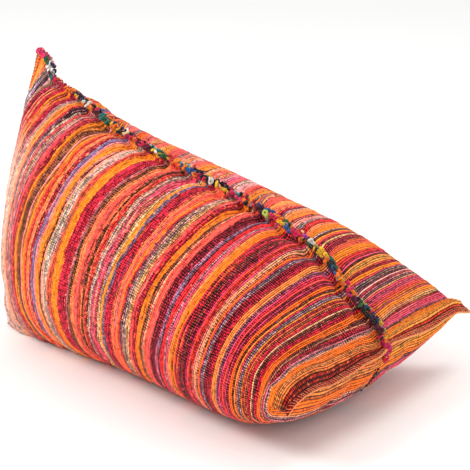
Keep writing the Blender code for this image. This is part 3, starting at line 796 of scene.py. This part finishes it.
def settle(grid):
    """The bag as its cloth settles on its filling. The seams, the hems and the cloth that rests on the
    floor are held, and the slow swelling is taken out again, so that the bag keeps its outline."""
    rows, count = grid.shape[:2]
    along = np.linspace(0, 1, rows)[:, None]
    from_spine, from_keel = (distance[None] for distance in seam_distances())
    from_seam = np.minimum(from_spine, from_keel)
    held = (along == 0) | (along == 1) | (from_seam < 1e-6) | (grid[..., 2] < FLOOR_CONTACT)
    held |= (along < KEEL_LEAVES_FLOOR[0]) & (from_keel < CHANNEL_OUTER * CHANNEL_HOLD)

    start = grid - outward_normals(grid) * SETTLE_START_INWARD * ~held[..., None]
    cloth = mesh_piece("settling_cloth", start, ring_faces(rows, count))
    group = cloth.vertex_groups.new(name="held")
    group.add(np.flatnonzero(held.ravel()).tolist(), 1.0, "REPLACE")
    simulation = cloth.modifiers.new("settling", "CLOTH")
    settings = simulation.settings
    settings.quality = 5
    settings.mass = 0.3
    settings.tension_stiffness = settings.compression_stiffness = SETTLE_STIFFNESS
    settings.shear_stiffness = SETTLE_STIFFNESS / 3
    settings.bending_stiffness = SETTLE_BENDING
    settings.use_pressure = True
    settings.uniform_pressure_force = SETTLE_PRESSURE
    settings.vertex_group_mass = "held"
    settings.shrink_min = -SETTLE_GROWTH
    settings.effector_weights.gravity = 0.0
    simulation.collision_settings.use_collision = False
    simulation.point_cache.frame_end = SETTLE_FRAMES
    for step in range(1, SETTLE_FRAMES + 1):
        bpy.context.scene.frame_set(step)
    pick_out([cloth])
    bpy.ops.object.modifier_apply(modifier=simulation.name)
    settled = np.empty(rows * count * 3, np.float32)
    cloth.data.vertices.foreach_get("co", settled)
    bpy.data.objects.remove(cloth)
    bpy.context.scene.frame_set(1)

    move = settled.reshape(grid.shape) - grid
    move = move - SETTLE_SLOW_SHARE * slow_part(move)
    fade = clear_of_ends(along, 1, *SETTLE_CLEAR_OF_ENDS) * smooth_step(from_seam, 0.0, SEAM_HOLD) * ~held
    move = move * fade[..., None]
    reach = np.linalg.norm(move, axis=2, keepdims=True)
    grid = grid + move * np.minimum(1.0, SETTLE_LIMIT / np.maximum(reach, 1e-9))
    grid[..., 2] = np.maximum(grid[..., 2], 0.0)
    return grid


def closure_partners():
    """For each column, the one that faces it in the back closure and in the front one."""
    index = np.arange(4 * COLUMNS_PER_QUARTER)
    return (-index) % len(index), (2 * COLUMNS_PER_QUARTER - index) % len(index)


def cover_dyes():
    """The dye and the mingled dye of every face corner, pick by pick and column by column."""
    girths = np.append(column_girths(), 4.0)[:2 * COLUMNS_PER_QUARTER + 1] * QUARTER_LENGTH
    near_dyes = pick_colours(panel_chart(NEAR_STRIPES), 101, girths, NEAR_FADING_AND_LIGHT)
    places = np.linspace(0, 1, len(near_dyes[0]))[:, None]
    # Painted glare: the near panel's fold beside the back closure is paled towards a pale colour.
    painted_glare = PAINTED_GLARE_SHARE * smooth_step(places, *PAINTED_GLARE_FROM) * (1 - smooth_step(places, *PAINTED_GLARE_TO))
    painted_glare = painted_glare * smooth_step(girths / QUARTER_LENGTH, *PAINTED_GLARE_GIRTH)
    for dyes in near_dyes:
        dyes[..., :3] += (linear(PAINTED_GLARE) - dyes[..., :3]) * painted_glare[..., None]
    far_dyes = pick_colours(panel_chart(FAR_STRIPES), 202, girths, FAR_FADING_AND_LIGHT)
    pick = np.repeat(np.arange(PICKS + 2 * HEM_PICKS), ROWS_PER_PICK)
    corner_dyes = []
    for near, far in zip(near_dyes, far_dyes):
        left = np.concatenate([near[:, :-1], far[:, :-1]], axis=1)[pick]
        right = np.concatenate([near[:, 1:], far[:, 1:]], axis=1)[pick]
        corner_dyes.append(np.stack([left, right, right, left], axis=2).reshape(-1, 4))
    return corner_dyes


def cover_places(row_count):
    """The place of every face corner on the cloth: across by its girth and along by its row."""
    girth = np.append(column_girths(), 4.0) / 4
    level = np.arange(row_count) / (row_count - 1)
    left, right = girth[:-1], girth[1:]
    low, high = level[:-1, None], level[1:, None]
    shape = (row_count - 1, 4 * COLUMNS_PER_QUARTER)
    u = np.stack([np.broadcast_to(side, shape) for side in (left, right, right, left)], axis=2)
    v = np.stack([np.broadcast_to(side, shape) for side in (low, low, high, high)], axis=2)
    return np.stack([u, v], axis=-1).reshape(-1, 2)


def cover(material):
    grid = woven_rows(settle(cover_surface(np.linspace(0, 1, SETTLED_ROWS + 1))))
    back_partner, front_partner = closure_partners()
    back = hem_rows(grid[0], grid[HEM_INNER_ROW], back_partner, (BACK_HEM_HEIGHTS, BACK_HEM_FOLDS))
    front = hem_rows(grid[-1], grid[-1 - HEM_INNER_ROW], front_partner, droop=FRONT_HEM_DROOP)
    rows = np.array(back[::-1] + list(grid) + front)
    rows[..., 2] = np.maximum(rows[..., 2], 0.0)
    faces = ring_faces(len(rows), rows.shape[1])
    faces += closing_faces(0, back_partner, front=False)
    faces += closing_faces((len(rows) - 1) * rows.shape[1], front_partner, front=True)
    piece = mesh_piece("woven_cover", rows, faces)
    mesh = piece.data
    mesh.materials.append(material)
    mesh.shade_smooth()

    places = cover_places(len(rows))
    spare = len(mesh.loops) - len(places)
    end_dye = np.tile([*linear(DYES["coral"][:3]), 0.3], (spare, 1))
    for name, values in zip(("dye", "mingled"), cover_dyes()):
        dye_corners(mesh, name, np.vstack([values, end_dye]))
    layer = mesh.uv_layers.new(name="cloth")
    layer.uv.foreach_set("vector", np.vstack([places, np.zeros((spare, 2))]).astype(np.float32).ravel())
    return piece, rows


class Finish:
    """A finish of the cloth: its material, and the nodes that are added to it one by one."""

    def __init__(self, name):
        self.material = bpy.data.materials.new(name)
        self.material.use_nodes = True
        self.tree = self.material.node_tree
        self.shader = self.tree.nodes["Principled BSDF"]

    def node(self, kind, settings=(), **inputs):
        """A node with its settings, and its inputs set or linked by name or by place, as i0, i1."""
        made = self.tree.nodes.new(kind)
        for key, value in dict(settings).items():
            setattr(made, key, value)
        for key, value in inputs.items():
            socket = made.inputs[int(key[1:])] if key[0] == "i" and key[1:].isdigit() else made.inputs[key]
            if isinstance(value, bpy.types.NodeSocket):
                self.tree.links.new(value, socket)
            else:
                socket.default_value = value
        return made

    def sums(self, operation, first, second=0.0, third=0.0):
        return self.node("ShaderNodeMath", {"operation": operation}, i0=first, i1=second, i2=third).outputs[0]

    def times(self, first, second):
        return self.sums("MULTIPLY", first, second)

    def plus(self, first, second):
        return self.sums("ADD", first, second)

    def minus(self, first, second):
        return self.sums("SUBTRACT", first, second)

    def gained(self, value, gain, base):
        """A base and a gain for each unit of the value."""
        return self.sums("MULTIPLY_ADD", value, gain, base)

    def ramp(self, value, low, high, bottom, top):
        """A value turned smoothly from bottom to top between low and high."""
        return self.node("ShaderNodeMapRange", {"interpolation_type": "SMOOTHSTEP"},
                         i0=value, i1=low, i2=high, i3=bottom, i4=top).outputs[0]

    def place(self, across, along):
        return self.node("ShaderNodeCombineXYZ", X=across, Y=along).outputs[0]

    def noise(self, across, along, detail=2.0, roughness=0.5):
        """Noise over the cloth, at the two places that are given."""
        return self.node("ShaderNodeTexNoise", {"noise_dimensions": "2D"}, Vector=self.place(across, along),
                         Scale=1.0, Detail=detail, Roughness=roughness).outputs[0]

    def odds(self, across, along):
        """A random value and a random colour for each whole place on the cloth."""
        return self.node("ShaderNodeTexWhiteNoise", {"noise_dimensions": "2D"},
                         Vector=self.place(across, along)).outputs

    def mixed(self, share, first, second):
        """The first colour with a share of the second."""
        return self.node("ShaderNodeMix", {"data_type": "RGBA"}, Factor=share, i6=first, i7=second).outputs[2]

    def scaled(self, colour, share):
        return self.node("ShaderNodeVectorMath", {"operation": "SCALE"}, i0=colour, Scale=share).outputs[0]

    def dressed(self, colour, height, strength, distance, surface):
        """The material with its colour, its bump and the values of its surface."""
        bump = self.node("ShaderNodeBump", Strength=strength, Distance=distance, Height=height)
        self.tree.links.new(colour, self.shader.inputs["Base Color"])
        self.tree.links.new(bump.outputs[0], self.shader.inputs["Normal"])
        for name, value in surface.items():
            self.shader.inputs[name].default_value = value
        return self.material


def rag_cloth():
    """Weft-faced rag weave: dyed picks of stranded rag, crossed by the dents and threads of the warp."""
    weave = Finish("rag_cloth")
    sums, times, plus, minus, gained = weave.sums, weave.times, weave.plus, weave.minus, weave.gained
    ramp, noise = weave.ramp, weave.noise
    dye = weave.node("ShaderNodeAttribute", {"attribute_name": "dye"}).outputs
    mingled = weave.node("ShaderNodeAttribute", {"attribute_name": "mingled"}).outputs
    cloth = weave.node("ShaderNodeUVMap", {"uv_map": "cloth"}).outputs[0]
    across, along, _ = weave.node("ShaderNodeSeparateXYZ", Vector=cloth).outputs
    girth = times(across, 4000 * QUARTER_LENGTH)
    pick = times(along, PICKS + 2 * HEM_PICKS)
    whole, within = sums("FLOOR", pick), sums("FRACT", pick)

    # The warp's threads cross the picks and press dents into them, painted dark as shade, most in the dyes
    # that take it strongly. They wander, and the weave is more even towards the front closure.
    even = ramp(along, 0.42, 0.85, 0.0, 1.0)
    bend = times(noise(times(girth, 0.02), times(pick, 0.09)), 1.4)
    slip = times(noise(times(girth, 0.05), times(whole, 0.61)), gained(even, -0.4, 0.5))
    thread = plus(sums("DIVIDE", girth, WARP_PITCH), plus(bend, slip))
    off_thread = sums("ABSOLUTE", minus(sums("FRACT", thread), 0.5))
    dent_odds = weave.odds(sums("ROUND", thread), whole)[0]
    dent = times(ramp(off_thread, 0.13, 0.28, 0.0, 1.0),
                 ramp(dent_odds, 0.0, 0.7, gained(even, 0.4, 0.2), 1.0))

    # Between two threads the rag makes a bead. Some are dark, some pale, and some are of a mingled dye.
    bead_odds = weave.odds(sums("FLOOR", thread), plus(whole, 0.5))
    rough = times(ramp(along, 0.05, 0.80, 0.60, 1.4), ramp(dye["Alpha"], 0.30, 0.85, 0.76, 1.0))
    bead = gained(minus(bead_odds[0], 0.46), rough, 1.0)
    fray = noise(times(girth, 0.10), times(pick, 1.3), 2.0, 0.6)
    mingle = times(ramp(fray, 0.55, 0.60, 0.0, 0.9), ramp(bead_odds[1], 0.30, 0.60, 0.1, 1.0))
    mingle = times(mingle, gained(even, -0.7, 1.0))
    dyed = weave.mixed(mingle, dye["Color"], mingled["Color"])
    ticks = plus(times(dye["Alpha"], minus(1.0, mingle)), times(mingled["Alpha"], mingle))
    ticks = sums("MINIMUM", gained(even, 0.16, ticks), 1.0)

    # Painted shade in the grooves between picks, deepest towards the front and beside the spine seam, and
    # uneven: some grooves gape dark, others look packed shut.
    groove_shade = ramp(sums("ABSOLUTE", minus(within, 0.5)), 0.16, 0.36, 0.0, 1.0)
    gape = noise(times(girth, 0.012), times(sums("ROUND", pick), 0.77))
    off_spine = sums("MINIMUM", across, minus(1.0, across))
    groove_shade_depth = sums("MAXIMUM", ramp(along, 0.05, 0.60, 0.60, 1.05), ramp(off_spine, 0.03, 0.11, 1.1, 0.5))
    groove_shade = times(times(groove_shade, groove_shade_depth), ramp(gape, 0.44, 0.56, gained(even, 0.65, 0.30), 1.0))
    groove_shade = times(groove_shade, ramp(ticks, 0.30, 0.85, gained(even, 0.26, 0.62), 1.0))

    # A pick is a few twisted strands, with bits of pale and dark lint.
    strand = noise(times(girth, 0.045), times(pick, 2.7), 4.0, 0.66)
    ply = noise(times(girth, 0.20), times(pick, 4.5), 2.0, 0.6)
    lint = weave.node("ShaderNodeTexVoronoi", {"voronoi_dimensions": "2D"}, Scale=1.0, Randomness=1.0,
                      Vector=weave.place(times(girth, 0.11), pick)).outputs
    chance = weave.node("ShaderNodeSeparateColor", Color=lint["Color"]).outputs[0]
    bit = ramp(lint["Distance"], 0.18, 0.40, 1.0, 0.0)
    pale_bit = times(bit, sums("GREATER_THAN", chance, 0.99))
    dark_bit = times(bit, sums("LESS_THAN", chance, 0.03))

    shade = times(ramp(strand, 0.30, 0.70, gained(even, 0.20, 0.70), gained(even, -0.15, 2.0)),
                  ramp(ply, 0.25, 0.75, 0.72, 1.40))
    shade = times(times(shade, gained(even, 0.86, 1.0)), bead)
    # Painted shade of the warp's dents and of the grooves darkens the dye, as do the dark bits of lint.
    for dark, share in ((dent, times(ticks, 0.95)), (groove_shade, 0.88), (dark_bit, 0.6)):
        shade = times(shade, minus(1.0, times(dark, share)))
    red = weave.node("ShaderNodeSeparateColor", Color=dyed).outputs[0]
    shade = sums("MINIMUM", shade, sums("DIVIDE", 1.45, sums("MAXIMUM", red, 0.2)))
    colour = weave.mixed(times(pale_bit, 0.5), weave.scaled(dyed, shade), (*linear(PALE_LINT), 1.0))
    return weave.dressed(colour, minus(times(strand, 0.9), times(dent, 0.8)), 1.0, 0.0015, {
        "Roughness": 0.92, "Specular IOR Level": 0.14, "Sheen Weight": 0.17, "Sheen Roughness": 0.28,
        "Sheen Tint": (1.0, 0.86, 0.80, 1.0)})


def loop_cloth(name):
    """Bunched strips of dyed cloth, each loop in its own dye, with the grain of its threads."""
    strips = Finish(name)
    dye = strips.node("ShaderNodeAttribute", {"attribute_name": "dye"}).outputs["Color"]
    place = strips.node("ShaderNodeTexCoord").outputs["Object"]
    grain = strips.node("ShaderNodeTexNoise", Vector=place, Scale=420.0, Detail=3.0, Roughness=0.6).outputs[0]
    twist = strips.node("ShaderNodeTexWave", {"bands_direction": "DIAGONAL"}, Vector=place, Scale=160.0,
                        Distortion=6.0, Detail=2.0).outputs[1]
    shade = strips.times(strips.ramp(grain, 0.3, 0.7, 0.62, 1.3), strips.ramp(twist, 0.0, 1.0, 0.7, 1.15))
    return strips.dressed(strips.scaled(dye, shade), strips.plus(grain, twist), 0.7, 0.0008, {
        "Roughness": 0.88, "Specular IOR Level": 0.25, "Sheen Weight": 0.2,
        "Sheen Tint": (1.0, 0.92, 0.88, 1.0)})


def master_loop(kind):
    """One bunched loop of a cloth strip, about one unit across, modelled once for each kind."""
    bpy.ops.object.select_all(action="DESELECT")
    hole, tube = {"open": (0.62, 0.40), "tight": (0.46, 0.46), "folded": (0.56, 0.36)}[kind]
    bpy.ops.mesh.primitive_torus_add(
        major_segments=9, minor_segments=6, major_radius=hole, minor_radius=tube)
    loop = bpy.context.object
    bpy.ops.object.mode_set(mode="EDIT")
    bpy.ops.mesh.select_all(action="SELECT")
    if kind == "open":
        bpy.ops.transform.resize(value=(1.15, 0.85, 0.95))
    elif kind == "tight":
        bpy.ops.transform.resize(value=(1.0, 0.9, 1.1))
    else:
        bpy.ops.mesh.select_all(action="DESELECT")
        bpy.ops.object.mode_set(mode="OBJECT")
        for vertex in loop.data.vertices:
            vertex.select = vertex.co.x > 0.1
        bpy.ops.object.mode_set(mode="EDIT")
        bpy.ops.mesh.select_mode(type="VERT")
        bpy.ops.transform.rotate(
            value=math.radians(55), orient_axis="Y", orient_type="GLOBAL", center_override=(0.1, 0.0, 0.0))
        bpy.ops.mesh.select_all(action="SELECT")
        bpy.ops.transform.resize(value=(0.95, 1.05, 1.05))
    bpy.ops.mesh.normals_make_consistent(inside=False)
    bpy.ops.object.mode_set(mode="OBJECT")
    bpy.ops.object.shade_smooth()
    loop.name = "master_loop_" + kind
    return loop


def dyed_copy(master, matrix, colour):
    """A copy of a master form with its own mesh, set in its place and dyed."""
    mesh = master.data.copy()
    mesh.transform(matrix)
    dye_all(mesh, colour)
    return placed("copy", mesh)


def joined(copies, name, material):
    pick_out(copies)
    bpy.ops.object.join()
    piece = bpy.context.object
    piece.name = name
    piece.data.name = name
    piece.data.materials.clear()
    piece.data.materials.append(material)
    return piece


def seam_frames(line, outward_up):
    """Places along a seam at even steps of one loop, with the seam's way on and its way outward."""
    reach = reach_along(line)
    points = places_along(np.arange(0.5, reach[-1] / LOOP_PITCH) * LOOP_PITCH, reach, line)
    ways = to_length_one(np.gradient(points, axis=0))
    outward = np.stack([-ways[:, 2], np.zeros(len(ways)), ways[:, 0]], axis=1) * outward_up
    return points, ways, outward


def loop_copy(masters, random, place, size, dye, flatness=1.0):
    """One loop, turned at random, a little larger or smaller than the last, and pressed to its flatness."""
    colour = np.clip(np.array(LOOP_DYES[dye]) * random.uniform(0.8, 1.12), 0, 255)
    turn = Euler(random.uniform(-math.pi, math.pi, 3)).to_matrix().to_4x4()
    sizes = size * random.uniform(0.8, 1.25) * random.uniform(0.85, 1.15, 3)
    grown = Matrix.Diagonal((*sizes, 1.0))
    pressed = Matrix.Diagonal((1.0, 1.0, flatness, 1.0))
    master = masters[int(random.integers(len(masters)))]
    return dyed_copy(master, Matrix.Translation(place) @ pressed @ turn @ grown, colour)


def spine_edging(line, hem_tip, masters, material):
    """Two leaning rows of bunched loops on the spine seam, with some between them, a tuft at the peak and
    one that hangs over the middle of the front hem."""
    random = np.random.default_rng(31)
    points, ways, outward = seam_frames(line, 1.0)
    copies = []
    for k in range(len(points)):
        share = k / len(points)
        # The near row's chart turns dark towards the front with painted shade.
        rows = [(-1, NEAR_LOOPS_WITH_SHADE), (1, FAR_LOOPS)]
        if random.random() < MIDDLE_LOOP_SHARE:
            rows.append((0, NEAR_LOOPS_WITH_SHADE if random.random() < 0.5 else FAR_LOOPS))
        for side, chart in rows:
            turn = share * len(chart) + random.uniform(-LOOP_OFF_CHART, LOOP_OFF_CHART)
            dye = chart[int(np.clip(turn, 0, len(chart) - 1))]
            if random.random() < STRAY_LOOP_SHARE:
                dye = random.choice(list(LOOP_DYES))
            below_peak = math.exp(-((share - LOOPS_PRESSED_AT) / LOOPS_PRESSED_REACH) ** 2)
            grown = LOOP_GROWN - LOOPS_PRESSED_SIZE_LOSS * below_peak
            raised = 1 - LOOPS_PRESSED_HEIGHT_LOSS * below_peak
            height = (random.uniform(*LOOP_HEIGHTS) + (MIDDLE_LOOP_LIFT if side == 0 else 0.0)) * raised
            off_place = random.uniform(-LOOP_OFF_PLACE, LOOP_OFF_PLACE)
            place = (points[k] + outward[k] * height + ways[k] * off_place
                     + np.array([0.0, side * LOOP_LEAN * grown * random.uniform(*LOOP_LEANS), 0.0]))
            copies.append(loop_copy(masters, random, place, LOOP_SIZE * grown, dye))
    hanging = np.array([(line[-1] + hem_tip) / 2, hem_tip, hem_tip + FRONT_TUFT_DROP])
    crest = np.array([line[0], line[0] + PEAK_TUFT_REACH])
    for tuft, route in ((PEAK_TUFT, crest), (FRONT_TUFT, hanging)):
        for k, dye in enumerate(tuft.dyes):
            share = k / (len(tuft.dyes) - 1) * (len(route) - 1)
            at = places_along(share, np.arange(len(route)), route)
            place = at + random.uniform(-1, 1, 3) * tuft.spread
            copies.append(loop_copy(masters, random, place, tuft.size, dye))
    return joined(copies, "spine_loops", material)


def keel_edging(line, masters, material):
    """The same loops in the keel seam, dark with painted shade: pressed flat under the bag, and standing
    off it under the front.
    """
    random = np.random.default_rng(47)
    points, ways, outward = seam_frames(line, -1.0)
    copies = []
    for k in range(len(points)):
        free = points[k][2] > KEEL_LOOPS_FREE_ABOVE
        if not free and k % 3 == 1:
            continue
        for side in (-1, 1):
            dye = random.choice(SHADED_KEEL_LOOPS)
            place = points[k] + ways[k] * random.uniform(-LOOP_OFF_PLACE, LOOP_OFF_PLACE)
            place = place + np.array([0.0, side * LOOP_LEAN * random.uniform(*KEEL_LOOP_LEANS), 0.0])
            if free:
                place = place + outward[k] * random.uniform(*KEEL_FREE_LOOP_HEIGHTS)
                copies.append(loop_copy(masters, random, place, KEEL_FREE_LOOP_SIZE, dye))
            else:
                place[2] = PRESSED_LOOP_Z
                copies.append(loop_copy(masters, random, place, KEEL_LOOP_SIZE, dye, PRESSED_LOOP_FLATNESS))
    return joined(copies, "keel_loops", material)


def hem_stitches(name, root, edge, partner, dyes, seed, material):
    """Whip stitches: thread rings slanting round the hem, from its root over its edge and back."""
    bpy.ops.object.select_all(action="DESELECT")
    bpy.ops.mesh.primitive_torus_add(
        major_segments=14, minor_segments=5, major_radius=1.0, minor_radius=0.15)
    master = bpy.context.object
    bpy.ops.object.mode_set(mode="EDIT")
    bpy.ops.mesh.select_all(action="SELECT")
    bpy.ops.transform.resize(value=(1.0, 1.0, 1.3))
    bpy.ops.object.mode_set(mode="OBJECT")
    bpy.ops.object.shade_smooth()

    random = np.random.default_rng(seed)
    line, tips = middle_line(root, partner), middle_line(edge, partner)
    lips = (edge - edge[partner])[facing_order(partner)]
    reach = reach_along(tips)
    copies = []
    for stop in np.arange(0.7, reach[-1] / STITCH_PITCH - 0.4) * STITCH_PITCH:
        stop += random.uniform(-STITCH_OFF_PLACE, STITCH_OFF_PLACE)
        at, tip, lip, before, after = (
            places_along(stop + shift, reach, rail)
            for rail, shift in ((line, 0), (tips, 0), (lips, 0), (tips, -0.006), (tips, 0.006)))
        outward = tip - at
        way = (after - before) / np.linalg.norm(after - before)
        across = np.cross(outward, way)
        across /= np.linalg.norm(across)
        if across @ lip < 0:
            across = -across
        width = HEM_WIDTH * random.uniform(*STITCH_WIDTHS)
        matrix = Matrix.Identity(4)
        slant = way * STITCH_SLANT * random.uniform(*STITCH_SLANTS)
        columns = (outward / np.linalg.norm(outward) * width + slant,
                   across * STITCH_HALF_THICKNESS, way * width * 0.85)
        for axis, column in enumerate(columns):
            matrix.col[axis][:3] = column
        matrix.col[3][:3] = at + outward * 0.52
        copies.append(dyed_copy(master, matrix, random.choice(dyes)))
    bpy.data.objects.remove(master)
    return joined(copies, name, material)


def edge_thread(edge, partner, material):
    """A light thread laid along the edge of the front hem, under its stitches."""
    line = middle_line(edge, partner)
    curve = bpy.data.curves.new("edge_thread", "CURVE")
    curve.dimensions = "3D"
    curve.bevel_depth = EDGE_THREAD_RADIUS
    curve.bevel_resolution = 1
    curve.use_fill_caps = True
    spline = curve.splines.new("POLY")
    spline.points.add(len(line) - 1)
    spline.points.foreach_set("co", np.hstack([line, np.ones((len(line), 1))]).astype(np.float32).ravel())
    pick_out([placed("edge_thread", curve)])
    bpy.ops.object.convert(target="MESH")
    piece = bpy.context.object
    piece.data.materials.clear()
    piece.data.materials.append(material)
    dye_all(piece.data, EDGE_THREAD_DYE)
    return piece


# The photograph's camera, as it was measured on the bag: where it stands, how many of the picture's pixels
# a metre takes at the target, and where the target falls in the picture.
PICTURE_PIXELS = 470
TARGET = Vector((0.65 - MIDDLE_X, -MIDDLE_Y, 0.35))
CAMERA_AZIMUTH = math.radians(34.37)
CAMERA_ELEVATION = math.radians(19.02)
CAMERA_DISTANCE = 6.07
PIXELS_PER_METRE = 395.35
TARGET_PIXEL = (171.9, 236.4)


def camera():
    back = Vector((math.sin(CAMERA_AZIMUTH) * math.cos(CAMERA_ELEVATION),
                   -math.cos(CAMERA_AZIMUTH) * math.cos(CAMERA_ELEVATION), math.sin(CAMERA_ELEVATION)))
    data = bpy.data.cameras.new("photo_camera")
    eye = placed("photo_camera", data)
    eye.location = TARGET + back * CAMERA_DISTANCE
    turned = (-back).to_track_quat("-Z", "Y")
    focal_pixels = PIXELS_PER_METRE * CAMERA_DISTANCE
    aside = math.atan((PICTURE_PIXELS / 2 - TARGET_PIXEL[0]) / focal_pixels)
    above = math.atan((TARGET_PIXEL[1] - PICTURE_PIXELS / 2) / focal_pixels)
    eye.rotation_mode = "QUATERNION"
    eye.rotation_quaternion = turned @ Euler((above, -aside, 0.0)).to_quaternion()
    data.sensor_width = 36.0
    data.lens = focal_pixels / PICTURE_PIXELS * data.sensor_width
    data.clip_end = 100.0
    bpy.context.scene.camera = eye


# The studio: its floor, the light from all round, and its lamps.
FLOOR_COLOUR = (249, 249, 248)
LIGHT_ALL_ROUND = 0.84
Lamp = namedtuple("Lamp", "name place size power colour")
LAMPS = [
    Lamp("window", (-2.2, -2.6, 3.2), 1.9, 118.0, (1.0, 0.985, 0.96)),
    Lamp("front_fill", (3.0, -2.6, 1.6), 2.5, 20.0, (1.0, 1.0, 1.0)),
    Lamp("top_light", (0.8, 1.6, 3.4), 1.6, 42.0, (1.0, 0.98, 0.96)),
]


def area_light(name, place, size, power, colour):
    data = bpy.data.lights.new(name, "AREA")
    data.size = size
    data.energy = power
    data.color = colour
    lamp = placed(name, data)
    lamp.location = place
    lamp.rotation_mode = "QUATERNION"
    lamp.rotation_quaternion = (TARGET - Vector(place)).to_track_quat("-Z", "Y")


def studio():
    bpy.ops.object.select_all(action="DESELECT")
    bpy.ops.mesh.primitive_plane_add(size=24.0, location=(0.0, 0.0, -0.0006))
    floor = bpy.context.object
    floor.name = "floor"
    pale = Finish("pale_floor")
    pale.shader.inputs["Base Color"].default_value = (*linear(FLOOR_COLOUR), 1.0)
    pale.shader.inputs["Roughness"].default_value = 0.9
    floor.data.materials.append(pale.material)
    for lamp in LAMPS:
        area_light(*lamp)
    world = bpy.data.worlds.new("studio")
    world.use_nodes = True
    world.node_tree.nodes["Background"].inputs[0].default_value = (1.0, 1.0, 1.0, 1.0)
    world.node_tree.nodes["Background"].inputs[1].default_value = LIGHT_ALL_ROUND
    bpy.context.scene.world = world
    bpy.context.scene.view_settings.view_transform = "Standard"


camera()
studio()
woven_cover, cover_rows = cover(rag_cloth())
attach(woven_cover, "root")
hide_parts("cover")

masters = [master_loop(kind) for kind in ("open", "tight", "folded")]
spine_line = cover_rows[:int(len(cover_rows) * SPINE_LOOPS_END), 0]
keel_start, keel_end = (int(len(cover_rows) * share) for share in KEEL_LOOPS_ALONG)
keel_line = cover_rows[keel_start:keel_end, 2 * COLUMNS_PER_QUARTER]
spine_loops = spine_edging(spine_line, cover_rows[-1, 0], masters, loop_cloth("bunched_loops"))
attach(spine_loops, "root")
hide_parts("spine_edging")
keel_loops = keel_edging(keel_line, masters, loop_cloth("shaded_keel_loops"))
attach(keel_loops, "root")
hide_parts("keel_edging")
for master in masters:
    bpy.data.objects.remove(master)

thread = loop_cloth("hem_thread")
hem_depth = HEM_PICKS * ROWS_PER_PICK
back_partner, front_partner = closure_partners()
hem_pieces = [
    hem_stitches("front_hem_stitches", cover_rows[-1 - hem_depth], cover_rows[-1], front_partner,
                 FRONT_STITCH_DYES, 61, thread),
    hem_stitches("back_hem_stitches", cover_rows[hem_depth], cover_rows[0], back_partner,
                 BACK_STITCH_DYES, 62, thread),
    edge_thread(cover_rows[-1], front_partner, thread),
]
for piece in hem_pieces:
    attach(piece, "root")
